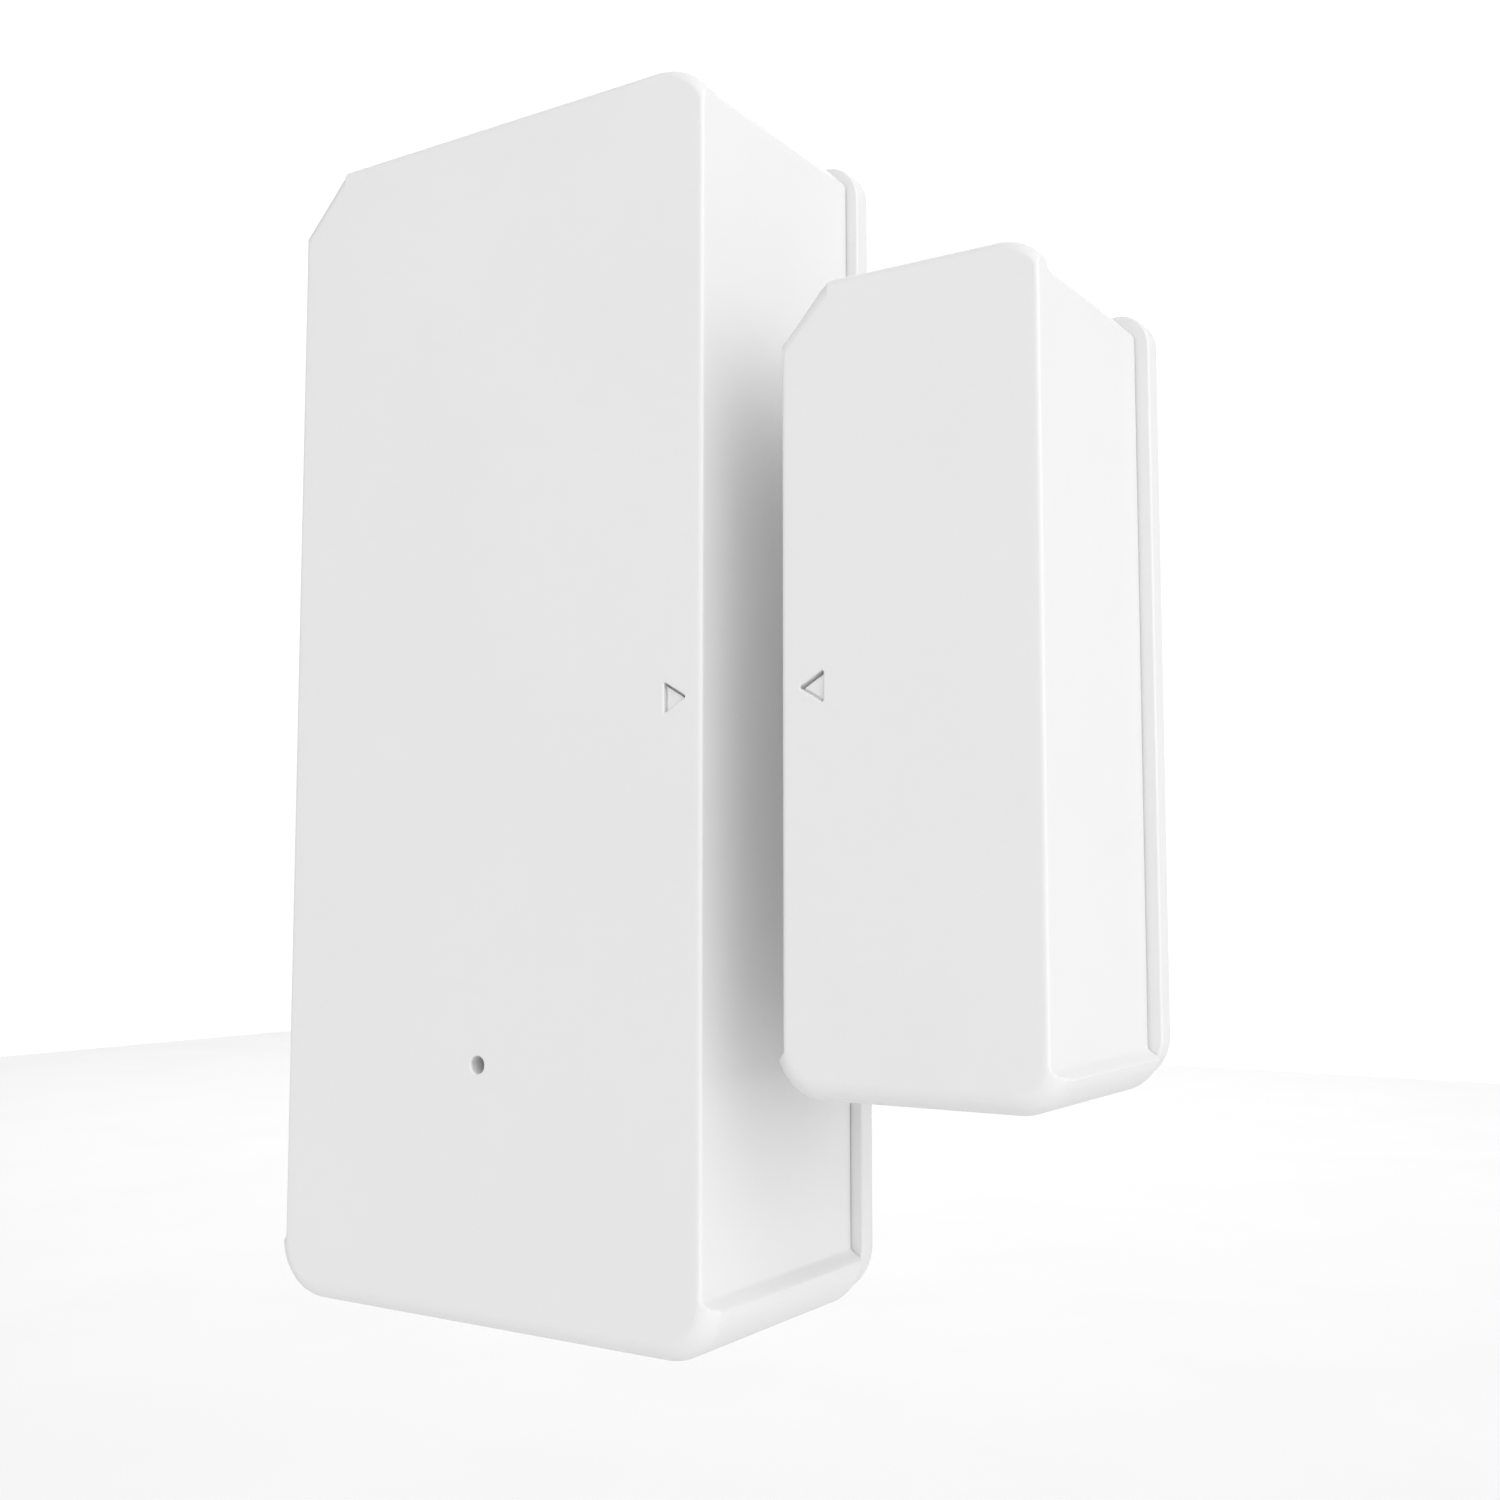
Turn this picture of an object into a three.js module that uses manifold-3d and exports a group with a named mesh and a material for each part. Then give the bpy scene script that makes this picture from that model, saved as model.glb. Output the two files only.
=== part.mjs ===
// Wireless door contact sensor: a battery transmitter for the frame and a magnet unit for the door.
// Millimetres. +X runs from the transmitter to the magnet unit, +Y goes back to the wall, +Z is up.
// The origin is the centre of the transmitter's adhesive mounting face.
// Inside each unit's group, y is the depth behind its front face.

import * as THREE from 'three';
import { mergeVertices } from 'three/addons/utils/BufferGeometryUtils.js';
import Module from 'manifold-3d';

const wasm = await Module();
wasm.setup();

// ---------------------------------------------------------------- driving dimensions

// Each unit: the outline of its shell at the front, at the top and on the lower lip, and where the
// shell, the back plate and the pad end. The plate shares the outline, but is a little less tall and
// has a smaller top radius.
const TRANSMITTER = {
  width: 32.6,
  height: 70.6,
  chamfer: 3.8,
  topRadius: 4.8,
  plateHeight: 69.9,
  plateTopRadius: 2.4,
  bottomRadius: 3.4,
  chamferRadius: 1.25,
  lipHeight: 2.5,
  shellDepth: 15.84,
  plateDepth: 17.2,
  depth: 17.6,
};
const MAGNET_UNIT = {
  width: 16.1,
  height: 42.3,
  chamfer: 3.2,
  topRadius: 4.3,
  plateHeight: 41.7,
  plateTopRadius: 1.9,
  bottomRadius: 2.7,
  chamferRadius: 1.25,
  lipHeight: 1.65,
  shellDepth: 13.14,
  plateDepth: 14.5,
  depth: 14.9,
};
const UNIT_GAP = 3.4;

const WALL = 1.85;
const FRONT_WALL = 1.6;
const FRONT_FILLET = 1.2;
const PANEL_RECESS = 0.8;
const LIP_RAMP = 1.1;
const PARTING_GAP = 0.06;
const PLATE_INSET = 0.05;
const PLATE_EDGE = 0.15;
const PAD_INSET = 3.6;
const PAD_POCKET_DEPTH = 0.4;
const PAD_POCKET_GAP = 0.2;
const RIB = { height: 1.3, thickness: 1, clearance: 0.2 };
const ARM = { thickness: 0.8, length: 6.2, clearance: 0.3, bump: 0.25, bumpStart: 0.5, bumpLength: 0.8 };
const ARM_WIDTH = { transmitter: 6, magnet: 4 };
const PRY_NOTCH = { width: 10, height: 0.8, depth: 0.7 };

// How far joined solids run into each other, and cutting solids run past what they cut.
const OVERLAP = 0.3;
const CUT_THROUGH = 1;

const LED_HOLE = { radius: 0.55, z: -20.5 };
const LIGHT_PIPE = { gap: 0.08, tip: 1.15, flangeRadius: 1.2, flangeFront: 1.63, flangeThickness: 0.25 };
const LED = { halfWidth: 0.8, halfHeight: 0.4, front: 2, notch: 0.3 };
const MARK = { base: 1.75, length: 1.4, depth: 0.4, edgeDistance: 1 };

const BOARD = { width: 26.4, height: 65.2, front: 2.6, rear: 3.6, corner: 1.5, chamfer: 4.2 };
const SCREW = {
  shank: 0.62,
  pilot: 0.7,
  hole: 0.85,
  head: 1.4,
  headHeight: 0.9,
  pilotFloor: 0.9,
  tip: 1.05,
  crossWidth: 0.35,
  crossReach: 0.85,
  crossDepth: 0.5,
};
const BOSS_RADIUS = 1.6;
const BOARD_SCREWS = { left: [-11.7, -30.8], right: [11.7, -30.8] };
const TRAY_SCREWS = { upper: [11.95, 27], lower: [11.95, -14] };
const TRAY_PINS = [[-11.4, 12], [-11.4, -8]];
const PIN = { radius: 0.6, hole: 0.7, tip: 2.7 };

const CELL = {
  radius: 5.25,
  length: 44.5,
  y: 9.8,
  gap: 0.4,
  clearance: 0.3,
  capRadius: 1.9,
  capHeight: 0.9,
  ringRadius: 4.2,
  baseRadius: 4.55,
  plate: 0.3,
  seam: 0.02,
  round: 0.2,
};
const TRAY = {
  wall: 0.8,
  floor: 3.65,
  floorThickness: 0.8,
  sideTop: 9,
  endTop: 14.2,
  endWallReach: 6,
  x: -1.5,
  top: 31.2,
  inner: 48,
  cornerCut: 1.3,
};
const TRAY_EAR = { half: 2.2, reach: 1.4 };
const SADDLE = { height: 2.6, thickness: 1.2, starts: [-12, 4, 20], clearance: 0.1 };
const CONTACT = {
  thickness: 0.3,
  width: 8,
  height: 8.4,
  gap: 0.05,
  floorGap: 0.1,
  tabWidth: 2,
  slotClearance: 0.2,
};
const SPRING = { wire: 0.25, wideRadius: 3.1, narrowRadius: 1.9, turns: 3, stepsPerTurn: 12 };

const REED = {
  x: 11.95,
  y: 5.6,
  glass: 1,
  bore: 0.72,
  rim: 0.02,
  half: 6.6,
  endTaper: 0.3,
  foot: 9.2,
  footLength: 1,
  width: 0.8,
  thickness: 0.2,
  gap: 0.05,
  overlap: 0.5,
  pivotZ: 6.2,
  pivotGap: 0.05,
};

const MODULE = {
  x: -2,
  z: -26.05,
  width: 15,
  height: 12.3,
  thickness: 0.8,
  edgeHole: 0.3,
  pitch: 1.5,
  holesPerSide: 6,
};
const CAN = { width: 12.6, height: 8.6, depth: 2.2, sheet: 0.25, z: -24.6 };
const SWITCH = {
  x: 9.3,
  z: -22.6,
  size: 6,
  height: 3.5,
  plunger: 1.7,
  travel: 0.35,
  endClearance: 0.15,
  bore: 1.85,
  boreDepth: 2,
};
const BUTTON = {
  radius: 2.2,
  bottom: 8.4,
  top: 14.8,
  socketDepth: 2,
  socketGap: 0.2,
  socketPlay: 0.08,
  dishRadius: 4,
  dishDepth: 0.3,
};
const CAPACITOR = {
  x: 8,
  z: -30.1,
  radius: 1.9,
  height: 5,
  grooveStart: 1,
  grooveHeight: 0.3,
  grooveDepth: 0.2,
};
const REGULATOR = {
  x: 11.95,
  z: 19,
  width: 1.6,
  height: 2.9,
  thickness: 1.1,
  standOff: 0.1,
  legReach: 0.4,
  legHalf: 0.2,
  legPitch: 0.95,
  legThickness: 0.3,
};

const BAR_MAGNET = { width: 5, depth: 5, height: 30, x: -1.6, front: 3, bevel: 0.4 };
const CRADLE = { wall: 1, clearance: 0.2, top: 7.4, notchFloor: 4, notchHalf: 3 };
const FOAM = { width: 4.4, height: 26, thickness: 2 };
const POST = { width: 3, height: 20 };

const LEAST_RADIUS = 0.4;
const ARC_STEPS = 5;
const ROUND_SIDES = 24;
const SMALL_ROUND_SIDES = 14;

// ---------------------------------------------------------------- materials

const FINISHES = {
  whiteShell: { color: 0xececec, roughness: 0.55, metalness: 0 },
  whitePlate: { color: 0xe4e4e4, roughness: 0.6, metalness: 0 },
  trayPlastic: { color: 0xdedede, roughness: 0.6, metalness: 0 },
  darkPlastic: { color: 0x26262a, roughness: 0.5, metalness: 0 },
  tape: { color: 0xcfd4d8, roughness: 0.85, metalness: 0 },
  foam: { color: 0x3a3a3d, roughness: 0.95, metalness: 0 },
  board: { color: 0x1d5b34, roughness: 0.45, metalness: 0 },
  clear: { color: 0xdfe8ea, roughness: 0.1, metalness: 0 },
  greenGlass: { color: 0x9fc7a4, roughness: 0.05, metalness: 0 },
  steel: { color: 0xb9bcc0, roughness: 0.3, metalness: 1 },
  nickel: { color: 0xc9c6bd, roughness: 0.25, metalness: 1 },
  jacket: { color: 0x34566f, roughness: 0.35, metalness: 0 },
  ledResin: { color: 0xf2f0c8, roughness: 0.3, metalness: 0 },
};

// ---------------------------------------------------------------- solids and booleans

function toManifold(geometry) {
  const bare = geometry.clone();
  bare.deleteAttribute('normal');
  bare.deleteAttribute('uv');
  const merged = mergeVertices(bare, 1e-5);
  const mesh = new wasm.Mesh({
    numProp: 3,
    vertProperties: new Float32Array(merged.attributes.position.array),
    triVerts: new Uint32Array(merged.index.array),
  });
  return new wasm.Manifold(mesh);
}

function fromManifold(solid) {
  const mesh = solid.getMesh();
  const geometry = new THREE.BufferGeometry();
  geometry.setAttribute('position', new THREE.BufferAttribute(mesh.vertProperties, 3));
  geometry.setIndex(new THREE.BufferAttribute(mesh.triVerts, 1));
  geometry.computeVertexNormals();
  return geometry;
}

// A base geometry with others joined to it, and then others cut from it.
function carve(base, { join = [], cut = [] }) {
  let solid = toManifold(base);
  for (const piece of join) {
    solid = solid.add(toManifold(piece));
  }
  for (const piece of cut) {
    solid = solid.subtract(toManifold(piece));
  }
  return fromManifold(solid);
}

// A block between two corners.
function block([x0, y0, z0], [x1, y1, z1]) {
  const geometry = new THREE.BoxGeometry(x1 - x0, y1 - y0, z1 - z0);
  return geometry.translate((x0 + x1) / 2, (y0 + y1) / 2, (z0 + z1) / 2);
}

// A round rod that runs front to back.
function rod(radius, x, z, y0, y1, sides = SMALL_ROUND_SIDES) {
  const geometry = new THREE.CylinderGeometry(radius, radius, y1 - y0, sides);
  return geometry.translate(x, (y0 + y1) / 2, z);
}

// A turned piece on an upright axis: the profile is a list of [radius, height].
function turned(profile, sides = ROUND_SIDES) {
  const points = profile.map(([radius, height]) => new THREE.Vector2(radius, height));
  return new THREE.LatheGeometry(points, sides).rotateX(Math.PI / 2);
}

// A flat piece cut from a shape drawn in x and z, between two depths.
function sheet(shape, y0, y1) {
  const geometry = new THREE.ExtrudeGeometry(shape, {
    depth: y1 - y0,
    bevelEnabled: false,
    curveSegments: SMALL_ROUND_SIDES / 2,
  });
  return geometry.rotateX(Math.PI / 2).translate(0, y1, 0);
}

// ---------------------------------------------------------------- outline of a unit

function smoothStep(share) {
  return share * share * (3 - 2 * share);
}

// Corners of a unit's outline, anticlockwise from the lower left: [x, z, radius].
function unitCorners({ width, height, chamfer, topRadius, bottomRadius, chamferRadius }) {
  const right = width / 2;
  const top = height / 2;
  return [
    [-right, -top, bottomRadius],
    [right, -top, bottomRadius],
    [right, top, topRadius],
    [-right + chamfer, top, chamferRadius],
    [-right, top - chamfer, chamferRadius],
  ];
}

// Points around a unit, each with its outward direction.
function unitOutline(unit) {
  const corners = unitCorners(unit);
  const points = [];
  corners.forEach(([x, z, radius], index) => {
    const [beforeX, beforeZ] = corners[(index + corners.length - 1) % corners.length];
    const [afterX, afterZ] = corners[(index + 1) % corners.length];
    const start = Math.atan2(beforeX - x, z - beforeZ);
    const end = Math.atan2(x - afterX, afterZ - z);
    const turn = (end - start + 2 * Math.PI) % (2 * Math.PI);
    const reach = radius / (1 + Math.cos(turn));
    const centreX = x - reach * (Math.cos(start) + Math.cos(end));
    const centreZ = z - reach * (Math.sin(start) + Math.sin(end));
    for (let step = 0; step <= ARC_STEPS; step += 1) {
      const angle = start + (turn * step) / ARC_STEPS;
      const nx = Math.cos(angle);
      const nz = Math.sin(angle);
      points.push({ x: centreX + radius * nx, z: centreZ + radius * nz, nx, nz });
    }
  });
  return points;
}

// A closed body through rings of the outline. Each section has its depth and its inset.
function loft(unit, sections) {
  const outline = unitOutline(unit);
  const count = outline.length;
  const positions = [];
  for (const { y, inset = 0 } of sections) {
    for (const { x, z, nx, nz } of outline) {
      positions.push(x - nx * inset, y, z - nz * inset);
    }
  }
  const index = [];
  for (let ring = 0; ring + 1 < sections.length; ring += 1) {
    for (let i = 0; i < count; i += 1) {
      const a = ring * count + i;
      const b = ring * count + ((i + 1) % count);
      index.push(a, b + count, b, a, a + count, b + count);
    }
  }
  const lastRing = (sections.length - 1) * count;
  const frontCentre = positions.length / 3;
  positions.push(0, sections[0].y, 0);
  positions.push(0, sections[sections.length - 1].y, 0);
  for (let i = 0; i < count; i += 1) {
    const next = (i + 1) % count;
    index.push(frontCentre, i, next);
    index.push(frontCentre + 1, lastRing + next, lastRing + i);
  }
  const geometry = new THREE.BufferGeometry();
  geometry.setAttribute('position', new THREE.Float32BufferAttribute(positions, 3));
  geometry.setIndex(index);
  return geometry;
}

// The outline between the two side panels, moved in by an inset that may be larger than its radii.
function core(unit, inset) {
  const radius = (outer) => Math.max(outer - inset, LEAST_RADIUS);
  return {
    width: unit.width - 2 * PANEL_RECESS - 2 * inset,
    height: unit.height - 2 * inset,
    chamfer: unit.chamfer - (2 - Math.SQRT2) * inset,
    topRadius: radius(unit.topRadius),
    bottomRadius: radius(unit.bottomRadius),
    chamferRadius: radius(unit.chamferRadius),
  };
}

function prism(unit, inset, y0, y1) {
  return loft(core(unit, inset), [{ y: y0 }, { y: y1 }]);
}

// ---------------------------------------------------------------- shells, plates and pads

// What is cut away to leave the flat side panel on the right (side 1) or the left (side -1). It ends
// in a soft ramp out to the lower lip.
function panelCut(unit, side) {
  const outer = unit.width / 2;
  const top = unit.height / 2 + CUT_THROUGH;
  const lipBase = -unit.height / 2 + unit.lipHeight;
  const steps = 5;
  const shape = new THREE.Shape();
  shape.moveTo(side * (outer + CUT_THROUGH), lipBase);
  for (let step = 0; step <= steps; step += 1) {
    const share = step / steps;
    shape.lineTo(side * (outer - PANEL_RECESS * smoothStep(share)), lipBase + LIP_RAMP * share);
  }
  shape.lineTo(side * (outer - PANEL_RECESS), top);
  shape.lineTo(side * (outer + CUT_THROUGH), top);
  return sheet(shape, -CUT_THROUGH, unit.shellDepth + CUT_THROUGH);
}

// The front shell's outside: a box with a soft front rim and a flat panel cut into each side.
function shellBody(unit) {
  const sections = [];
  const filletSteps = 5;
  for (let step = 0; step <= filletSteps; step += 1) {
    const angle = (Math.PI / 2) * (step / filletSteps);
    const y = FRONT_FILLET * (1 - Math.cos(angle));
    sections.push({ y, inset: FRONT_FILLET * (1 - Math.sin(angle)) });
  }
  sections.push({ y: unit.shellDepth });
  return carve(loft(unit, sections), { cut: [panelCut(unit, 1), panelCut(unit, -1)] });
}

// A three-sided alignment mark, cut into the front face and pointing along +x or -x.
function alignmentMark(edgeX, direction) {
  const tip = edgeX - direction * MARK.edgeDistance;
  const base = tip - direction * MARK.length;
  const shape = new THREE.Shape();
  shape.moveTo(tip, 0);
  shape.lineTo(base, MARK.base / 2);
  shape.lineTo(base, -MARK.base / 2);
  return sheet(shape, -CUT_THROUGH, MARK.depth);
}

function pryNotch(unit) {
  const bottom = -unit.height / 2;
  return block(
    [-PRY_NOTCH.width / 2, unit.shellDepth - PRY_NOTCH.depth, bottom - CUT_THROUGH],
    [PRY_NOTCH.width / 2, unit.shellDepth + CUT_THROUGH, bottom + PRY_NOTCH.height],
  );
}

function transmitterShell() {
  const unit = TRANSMITTER;
  const bosses = [];
  const pilots = [];
  for (const [x, z] of [...Object.values(BOARD_SCREWS), ...Object.values(TRAY_SCREWS)]) {
    bosses.push(rod(BOSS_RADIUS, x, z, FRONT_WALL - OVERLAP, BOARD.front));
    pilots.push(rod(SCREW.pilot, x, z, SCREW.pilotFloor, BOARD.front + CUT_THROUGH));
  }
  const hollow = carve(shellBody(unit), {
    cut: [prism(unit, WALL, FRONT_WALL, unit.depth)],
  });
  return carve(hollow, {
    join: bosses,
    cut: [
      ...pilots,
      rod(LED_HOLE.radius, 0, LED_HOLE.z, -CUT_THROUGH, FRONT_WALL + CUT_THROUGH, ROUND_SIDES),
      alignmentMark(unit.width / 2 - PANEL_RECESS, 1),
      pryNotch(unit),
    ],
  });
}

function magnetShell() {
  const unit = MAGNET_UNIT;
  return carve(shellBody(unit), {
    cut: [
      prism(unit, WALL, FRONT_WALL, unit.depth),
      alignmentMark(-unit.width / 2 + PANEL_RECESS, -1),
      pryNotch(unit),
    ],
  });
}

// A springy arm that stands in the cavity just inside the top (side 1) or bottom (side -1) wall, with
// a bump that catches the wall.
function snapArm(unit, side, width) {
  const plateFront = unit.shellDepth + PARTING_GAP;
  const outer = unit.height / 2 - WALL - ARM.clearance;
  const inner = outer - ARM.thickness;
  const tip = plateFront - ARM.length;
  const bumpFront = tip + ARM.bumpStart;
  const upright = (halfWidth, y0, y1, reach) => block(
    [-halfWidth, y0, Math.min(inner * side, reach * side)],
    [halfWidth, y1, Math.max(inner * side, reach * side)],
  );
  return [
    upright(width / 2, tip, plateFront + OVERLAP, outer),
    upright(width / 3, bumpFront, bumpFront + ARM.bumpLength, outer + ARM.bump),
  ];
}

// A back plate: its edge stands out past the shell's side panels, a rib locates it in the cavity, two
// arms snap in, and a pocket in its back holds the adhesive pad.
function backPlate(unit, armWidth, extra) {
  const front = unit.shellDepth + PARTING_GAP;
  const plate = {
    ...unit,
    height: unit.plateHeight,
    chamfer: unit.chamfer - (unit.height - unit.plateHeight) / 2,
    topRadius: unit.plateTopRadius,
  };
  const body = loft(plate, [
    { y: front, inset: PLATE_INSET + PLATE_EDGE },
    { y: front + PLATE_EDGE, inset: PLATE_INSET },
    { y: unit.plateDepth - PLATE_EDGE, inset: PLATE_INSET },
    { y: unit.plateDepth, inset: PLATE_INSET + PLATE_EDGE },
  ]);
  const ribInset = WALL + RIB.clearance;
  const ribTip = front - RIB.height;
  const rib = carve(prism(unit, ribInset, ribTip, front + OVERLAP), {
    cut: [prism(unit, ribInset + RIB.thickness, ribTip - CUT_THROUGH, front + CUT_THROUGH)],
  });
  const pocketFloor = unit.plateDepth - PAD_POCKET_DEPTH;
  return carve(body, {
    join: [rib, ...snapArm(unit, 1, armWidth), ...snapArm(unit, -1, armWidth), ...extra],
    cut: [prism(unit, PAD_INSET - PAD_POCKET_GAP, pocketFloor, unit.depth)],
  });
}

function adhesivePad(unit) {
  return prism(unit, PAD_INSET, unit.plateDepth - PAD_POCKET_DEPTH, unit.depth);
}

// ---------------------------------------------------------------- transmitter electronics

function circuitBoard() {
  const right = BOARD.width / 2;
  const top = BOARD.height / 2;
  const shape = new THREE.Shape();
  shape.moveTo(-right, -top + BOARD.corner);
  shape.quadraticCurveTo(-right, -top, -right + BOARD.corner, -top);
  shape.lineTo(right - BOARD.corner, -top);
  shape.quadraticCurveTo(right, -top, right, -top + BOARD.corner);
  shape.lineTo(right, top - BOARD.corner);
  shape.quadraticCurveTo(right, top, right - BOARD.corner, top);
  shape.lineTo(-right + BOARD.chamfer, top);
  shape.lineTo(-right, top - BOARD.chamfer);
  shape.closePath();
  for (const [x, z] of [...Object.values(BOARD_SCREWS), ...Object.values(TRAY_SCREWS)]) {
    shape.holes.push(roundHole(x, z, SCREW.hole));
  }
  for (const [x, z] of TRAY_PINS) {
    shape.holes.push(roundHole(x, z, PIN.hole));
  }
  return sheet(shape, BOARD.front, BOARD.rear);
}

function roundHole(x, z, radius) {
  const hole = new THREE.Path();
  hole.absarc(x, z, radius, 0, 2 * Math.PI, true);
  return hole;
}

// The LED is soldered to the board's front face, with a notch that marks its cathode end.
function statusLed() {
  const { halfWidth, halfHeight, front, notch } = LED;
  const body = block(
    [-halfWidth, front, LED_HOLE.z - halfHeight],
    [halfWidth, BOARD.front, LED_HOLE.z + halfHeight],
  );
  const cathodeNotch = block(
    [-notch, front - CUT_THROUGH, LED_HOLE.z + halfHeight - notch / 2],
    [notch, front + notch / 2, LED_HOLE.z + halfHeight + CUT_THROUGH],
  );
  return carve(body, { cut: [cathodeNotch] });
}

// A clear rod in the pinhole, with a flange behind the front wall.
function lightPipe() {
  const { gap, tip, flangeRadius, flangeFront, flangeThickness } = LIGHT_PIPE;
  const flange = rod(flangeRadius, 0, LED_HOLE.z, flangeFront, flangeFront + flangeThickness);
  const stem = rod(LED_HOLE.radius - gap, 0, LED_HOLE.z, tip, flangeFront + flangeThickness / 2);
  return carve(stem, { join: [flange] });
}

// The radio module's own small board, with half-round solder holes along both of its long edges.
function wifiModuleBoard() {
  const { x, z, width, height, thickness, edgeHole, pitch, holesPerSide } = MODULE;
  const body = block(
    [x - width / 2, BOARD.rear, z - height / 2],
    [x + width / 2, BOARD.rear + thickness, z + height / 2],
  );
  const edgeHoles = [];
  const sides = 8;
  const y0 = BOARD.rear - CUT_THROUGH;
  const y1 = BOARD.rear + thickness + CUT_THROUGH;
  for (let i = 0; i < holesPerSide; i += 1) {
    const holeZ = CAN.z + (i - (holesPerSide - 1) / 2) * pitch;
    for (const side of [-1, 1]) {
      edgeHoles.push(rod(edgeHole, x + (side * width) / 2, holeZ, y0, y1, sides));
    }
  }
  return carve(body, { cut: edgeHoles });
}

function wifiShieldCan() {
  const base = BOARD.rear + MODULE.thickness;
  const box = (trim, y0, y1) => block(
    [MODULE.x - CAN.width / 2 + trim, y0, CAN.z - CAN.height / 2 + trim],
    [MODULE.x + CAN.width / 2 - trim, y1, CAN.z + CAN.height / 2 - trim],
  );
  return carve(box(0, base, base + CAN.depth), {
    cut: [box(CAN.sheet, base - CUT_THROUGH, base + CAN.depth - CAN.sheet)],
  });
}

function switchBody() {
  const half = SWITCH.size / 2;
  const top = BOARD.rear + SWITCH.height;
  const body = block(
    [SWITCH.x - half, BOARD.rear, SWITCH.z - half],
    [SWITCH.x + half, top, SWITCH.z + half],
  );
  const bore = rod(SWITCH.bore, SWITCH.x, SWITCH.z, top - SWITCH.boreDepth, top + CUT_THROUGH);
  return carve(body, { cut: [bore] });
}

// The plunger rests clear of its bore's floor by a little more than its travel.
function switchPlunger() {
  const boreFloor = BOARD.rear + SWITCH.height - SWITCH.boreDepth;
  const bottom = boreFloor + SWITCH.travel + SWITCH.endClearance;
  const top = BUTTON.bottom + BUTTON.socketDepth - BUTTON.socketGap;
  return rod(SWITCH.plunger, SWITCH.x, SWITCH.z, bottom, top);
}

// A moulded cap on the plunger, with a dished top for a fingertip.
function pairingButton() {
  const { radius, bottom, top, socketDepth, socketPlay, dishRadius, dishDepth } = BUTTON;
  const dish = new THREE.SphereGeometry(dishRadius, ROUND_SIDES, SMALL_ROUND_SIDES);
  dish.translate(SWITCH.x, top + dishRadius - dishDepth, SWITCH.z);
  const socketRadius = SWITCH.plunger + socketPlay;
  const socket = rod(socketRadius, SWITCH.x, SWITCH.z, bottom - CUT_THROUGH, bottom + socketDepth);
  return carve(rod(radius, SWITCH.x, SWITCH.z, bottom, top, ROUND_SIDES), { cut: [socket, dish] });
}

// An aluminium can with the groove rolled in near its foot.
function capacitor() {
  const { x, z, radius, height, grooveStart, grooveHeight, grooveDepth } = CAPACITOR;
  const grooveBase = BOARD.rear + grooveStart;
  const groove = carve(rod(radius + CUT_THROUGH, x, z, grooveBase, grooveBase + grooveHeight), {
    cut: [rod(radius - grooveDepth, x, z, BOARD.rear, grooveBase + CUT_THROUGH)],
  });
  return carve(rod(radius, x, z, BOARD.rear, BOARD.rear + height, ROUND_SIDES), { cut: [groove] });
}

// A three-legged regulator: two legs on its left edge and one on its right.
function regulator() {
  const { x, z, width, height, thickness, standOff, legReach, legHalf, legPitch, legThickness } = REGULATOR;
  const body = block(
    [x - width / 2, BOARD.rear + standOff, z - height / 2],
    [x + width / 2, BOARD.rear + thickness, z + height / 2],
  );
  const legs = [[-1, -legPitch], [-1, legPitch], [1, 0]].map(([side, offset]) => block(
    [x + (side * width) / 2 - legReach, BOARD.rear, z + offset - legHalf],
    [x + (side * width) / 2 + legReach, BOARD.rear + legThickness, z + offset + legHalf],
  ));
  return carve(body, { join: legs });
}

// A pan-head screw with a cross recess; its shank reaches forward into a boss.
function screw([x, z], headBase) {
  const { shank, head, headHeight, tip, crossWidth, crossReach, crossDepth } = SCREW;
  const top = headBase + headHeight;
  const cross = [[crossReach, crossWidth / 2], [crossWidth / 2, crossReach]].map(([halfX, halfZ]) => block(
    [x - halfX, top - crossDepth, z - halfZ],
    [x + halfX, top + CUT_THROUGH, z + halfZ],
  ));
  return carve(rod(shank, x, z, tip, headBase + OVERLAP), {
    join: [rod(head, x, z, headBase, top)],
    cut: cross,
  });
}

// ---------------------------------------------------------------- reed switch

// The switch stands beside the battery tray, upright, with its two leads bent down to the board.
function reedGlass() {
  const { bore, glass, half, endTaper, rim } = REED;
  return turned([
    [bore, -half],
    [glass, -half + endTaper],
    [glass, half - endTaper],
    [bore, half],
    [bore - rim, half],
    [bore - rim, -half],
    [bore, -half],
  ], SMALL_ROUND_SIDES);
}

// A strip lead: a foot on the board, a riser, and a straight blade into the glass up to endZ.
function reedLead(side, faceY, endZ) {
  const { width, thickness, foot, footLength } = REED;
  const boardFace = BOARD.rear - REED.y;
  const strip = (y0, z0, y1, z1) => block(
    [-width / 2, y0, Math.min(z0 * side, z1 * side)],
    [width / 2, y1, Math.max(z0 * side, z1 * side)],
  );
  const riser = strip(boardFace, foot - thickness, faceY + thickness, foot);
  const footStrip = strip(boardFace, foot - thickness, boardFace + thickness, foot + footLength);
  const blade = strip(faceY, endZ * side, faceY + thickness, foot - thickness / 2);
  return carve(blade, { join: [riser, footStrip] });
}

function reedMovingBlade() {
  const front = REED.gap / 2;
  return block(
    [-REED.width / 2, front, -REED.overlap],
    [REED.width / 2, front + REED.thickness, REED.pivotZ],
  );
}

// ---------------------------------------------------------------- batteries and tray

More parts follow.
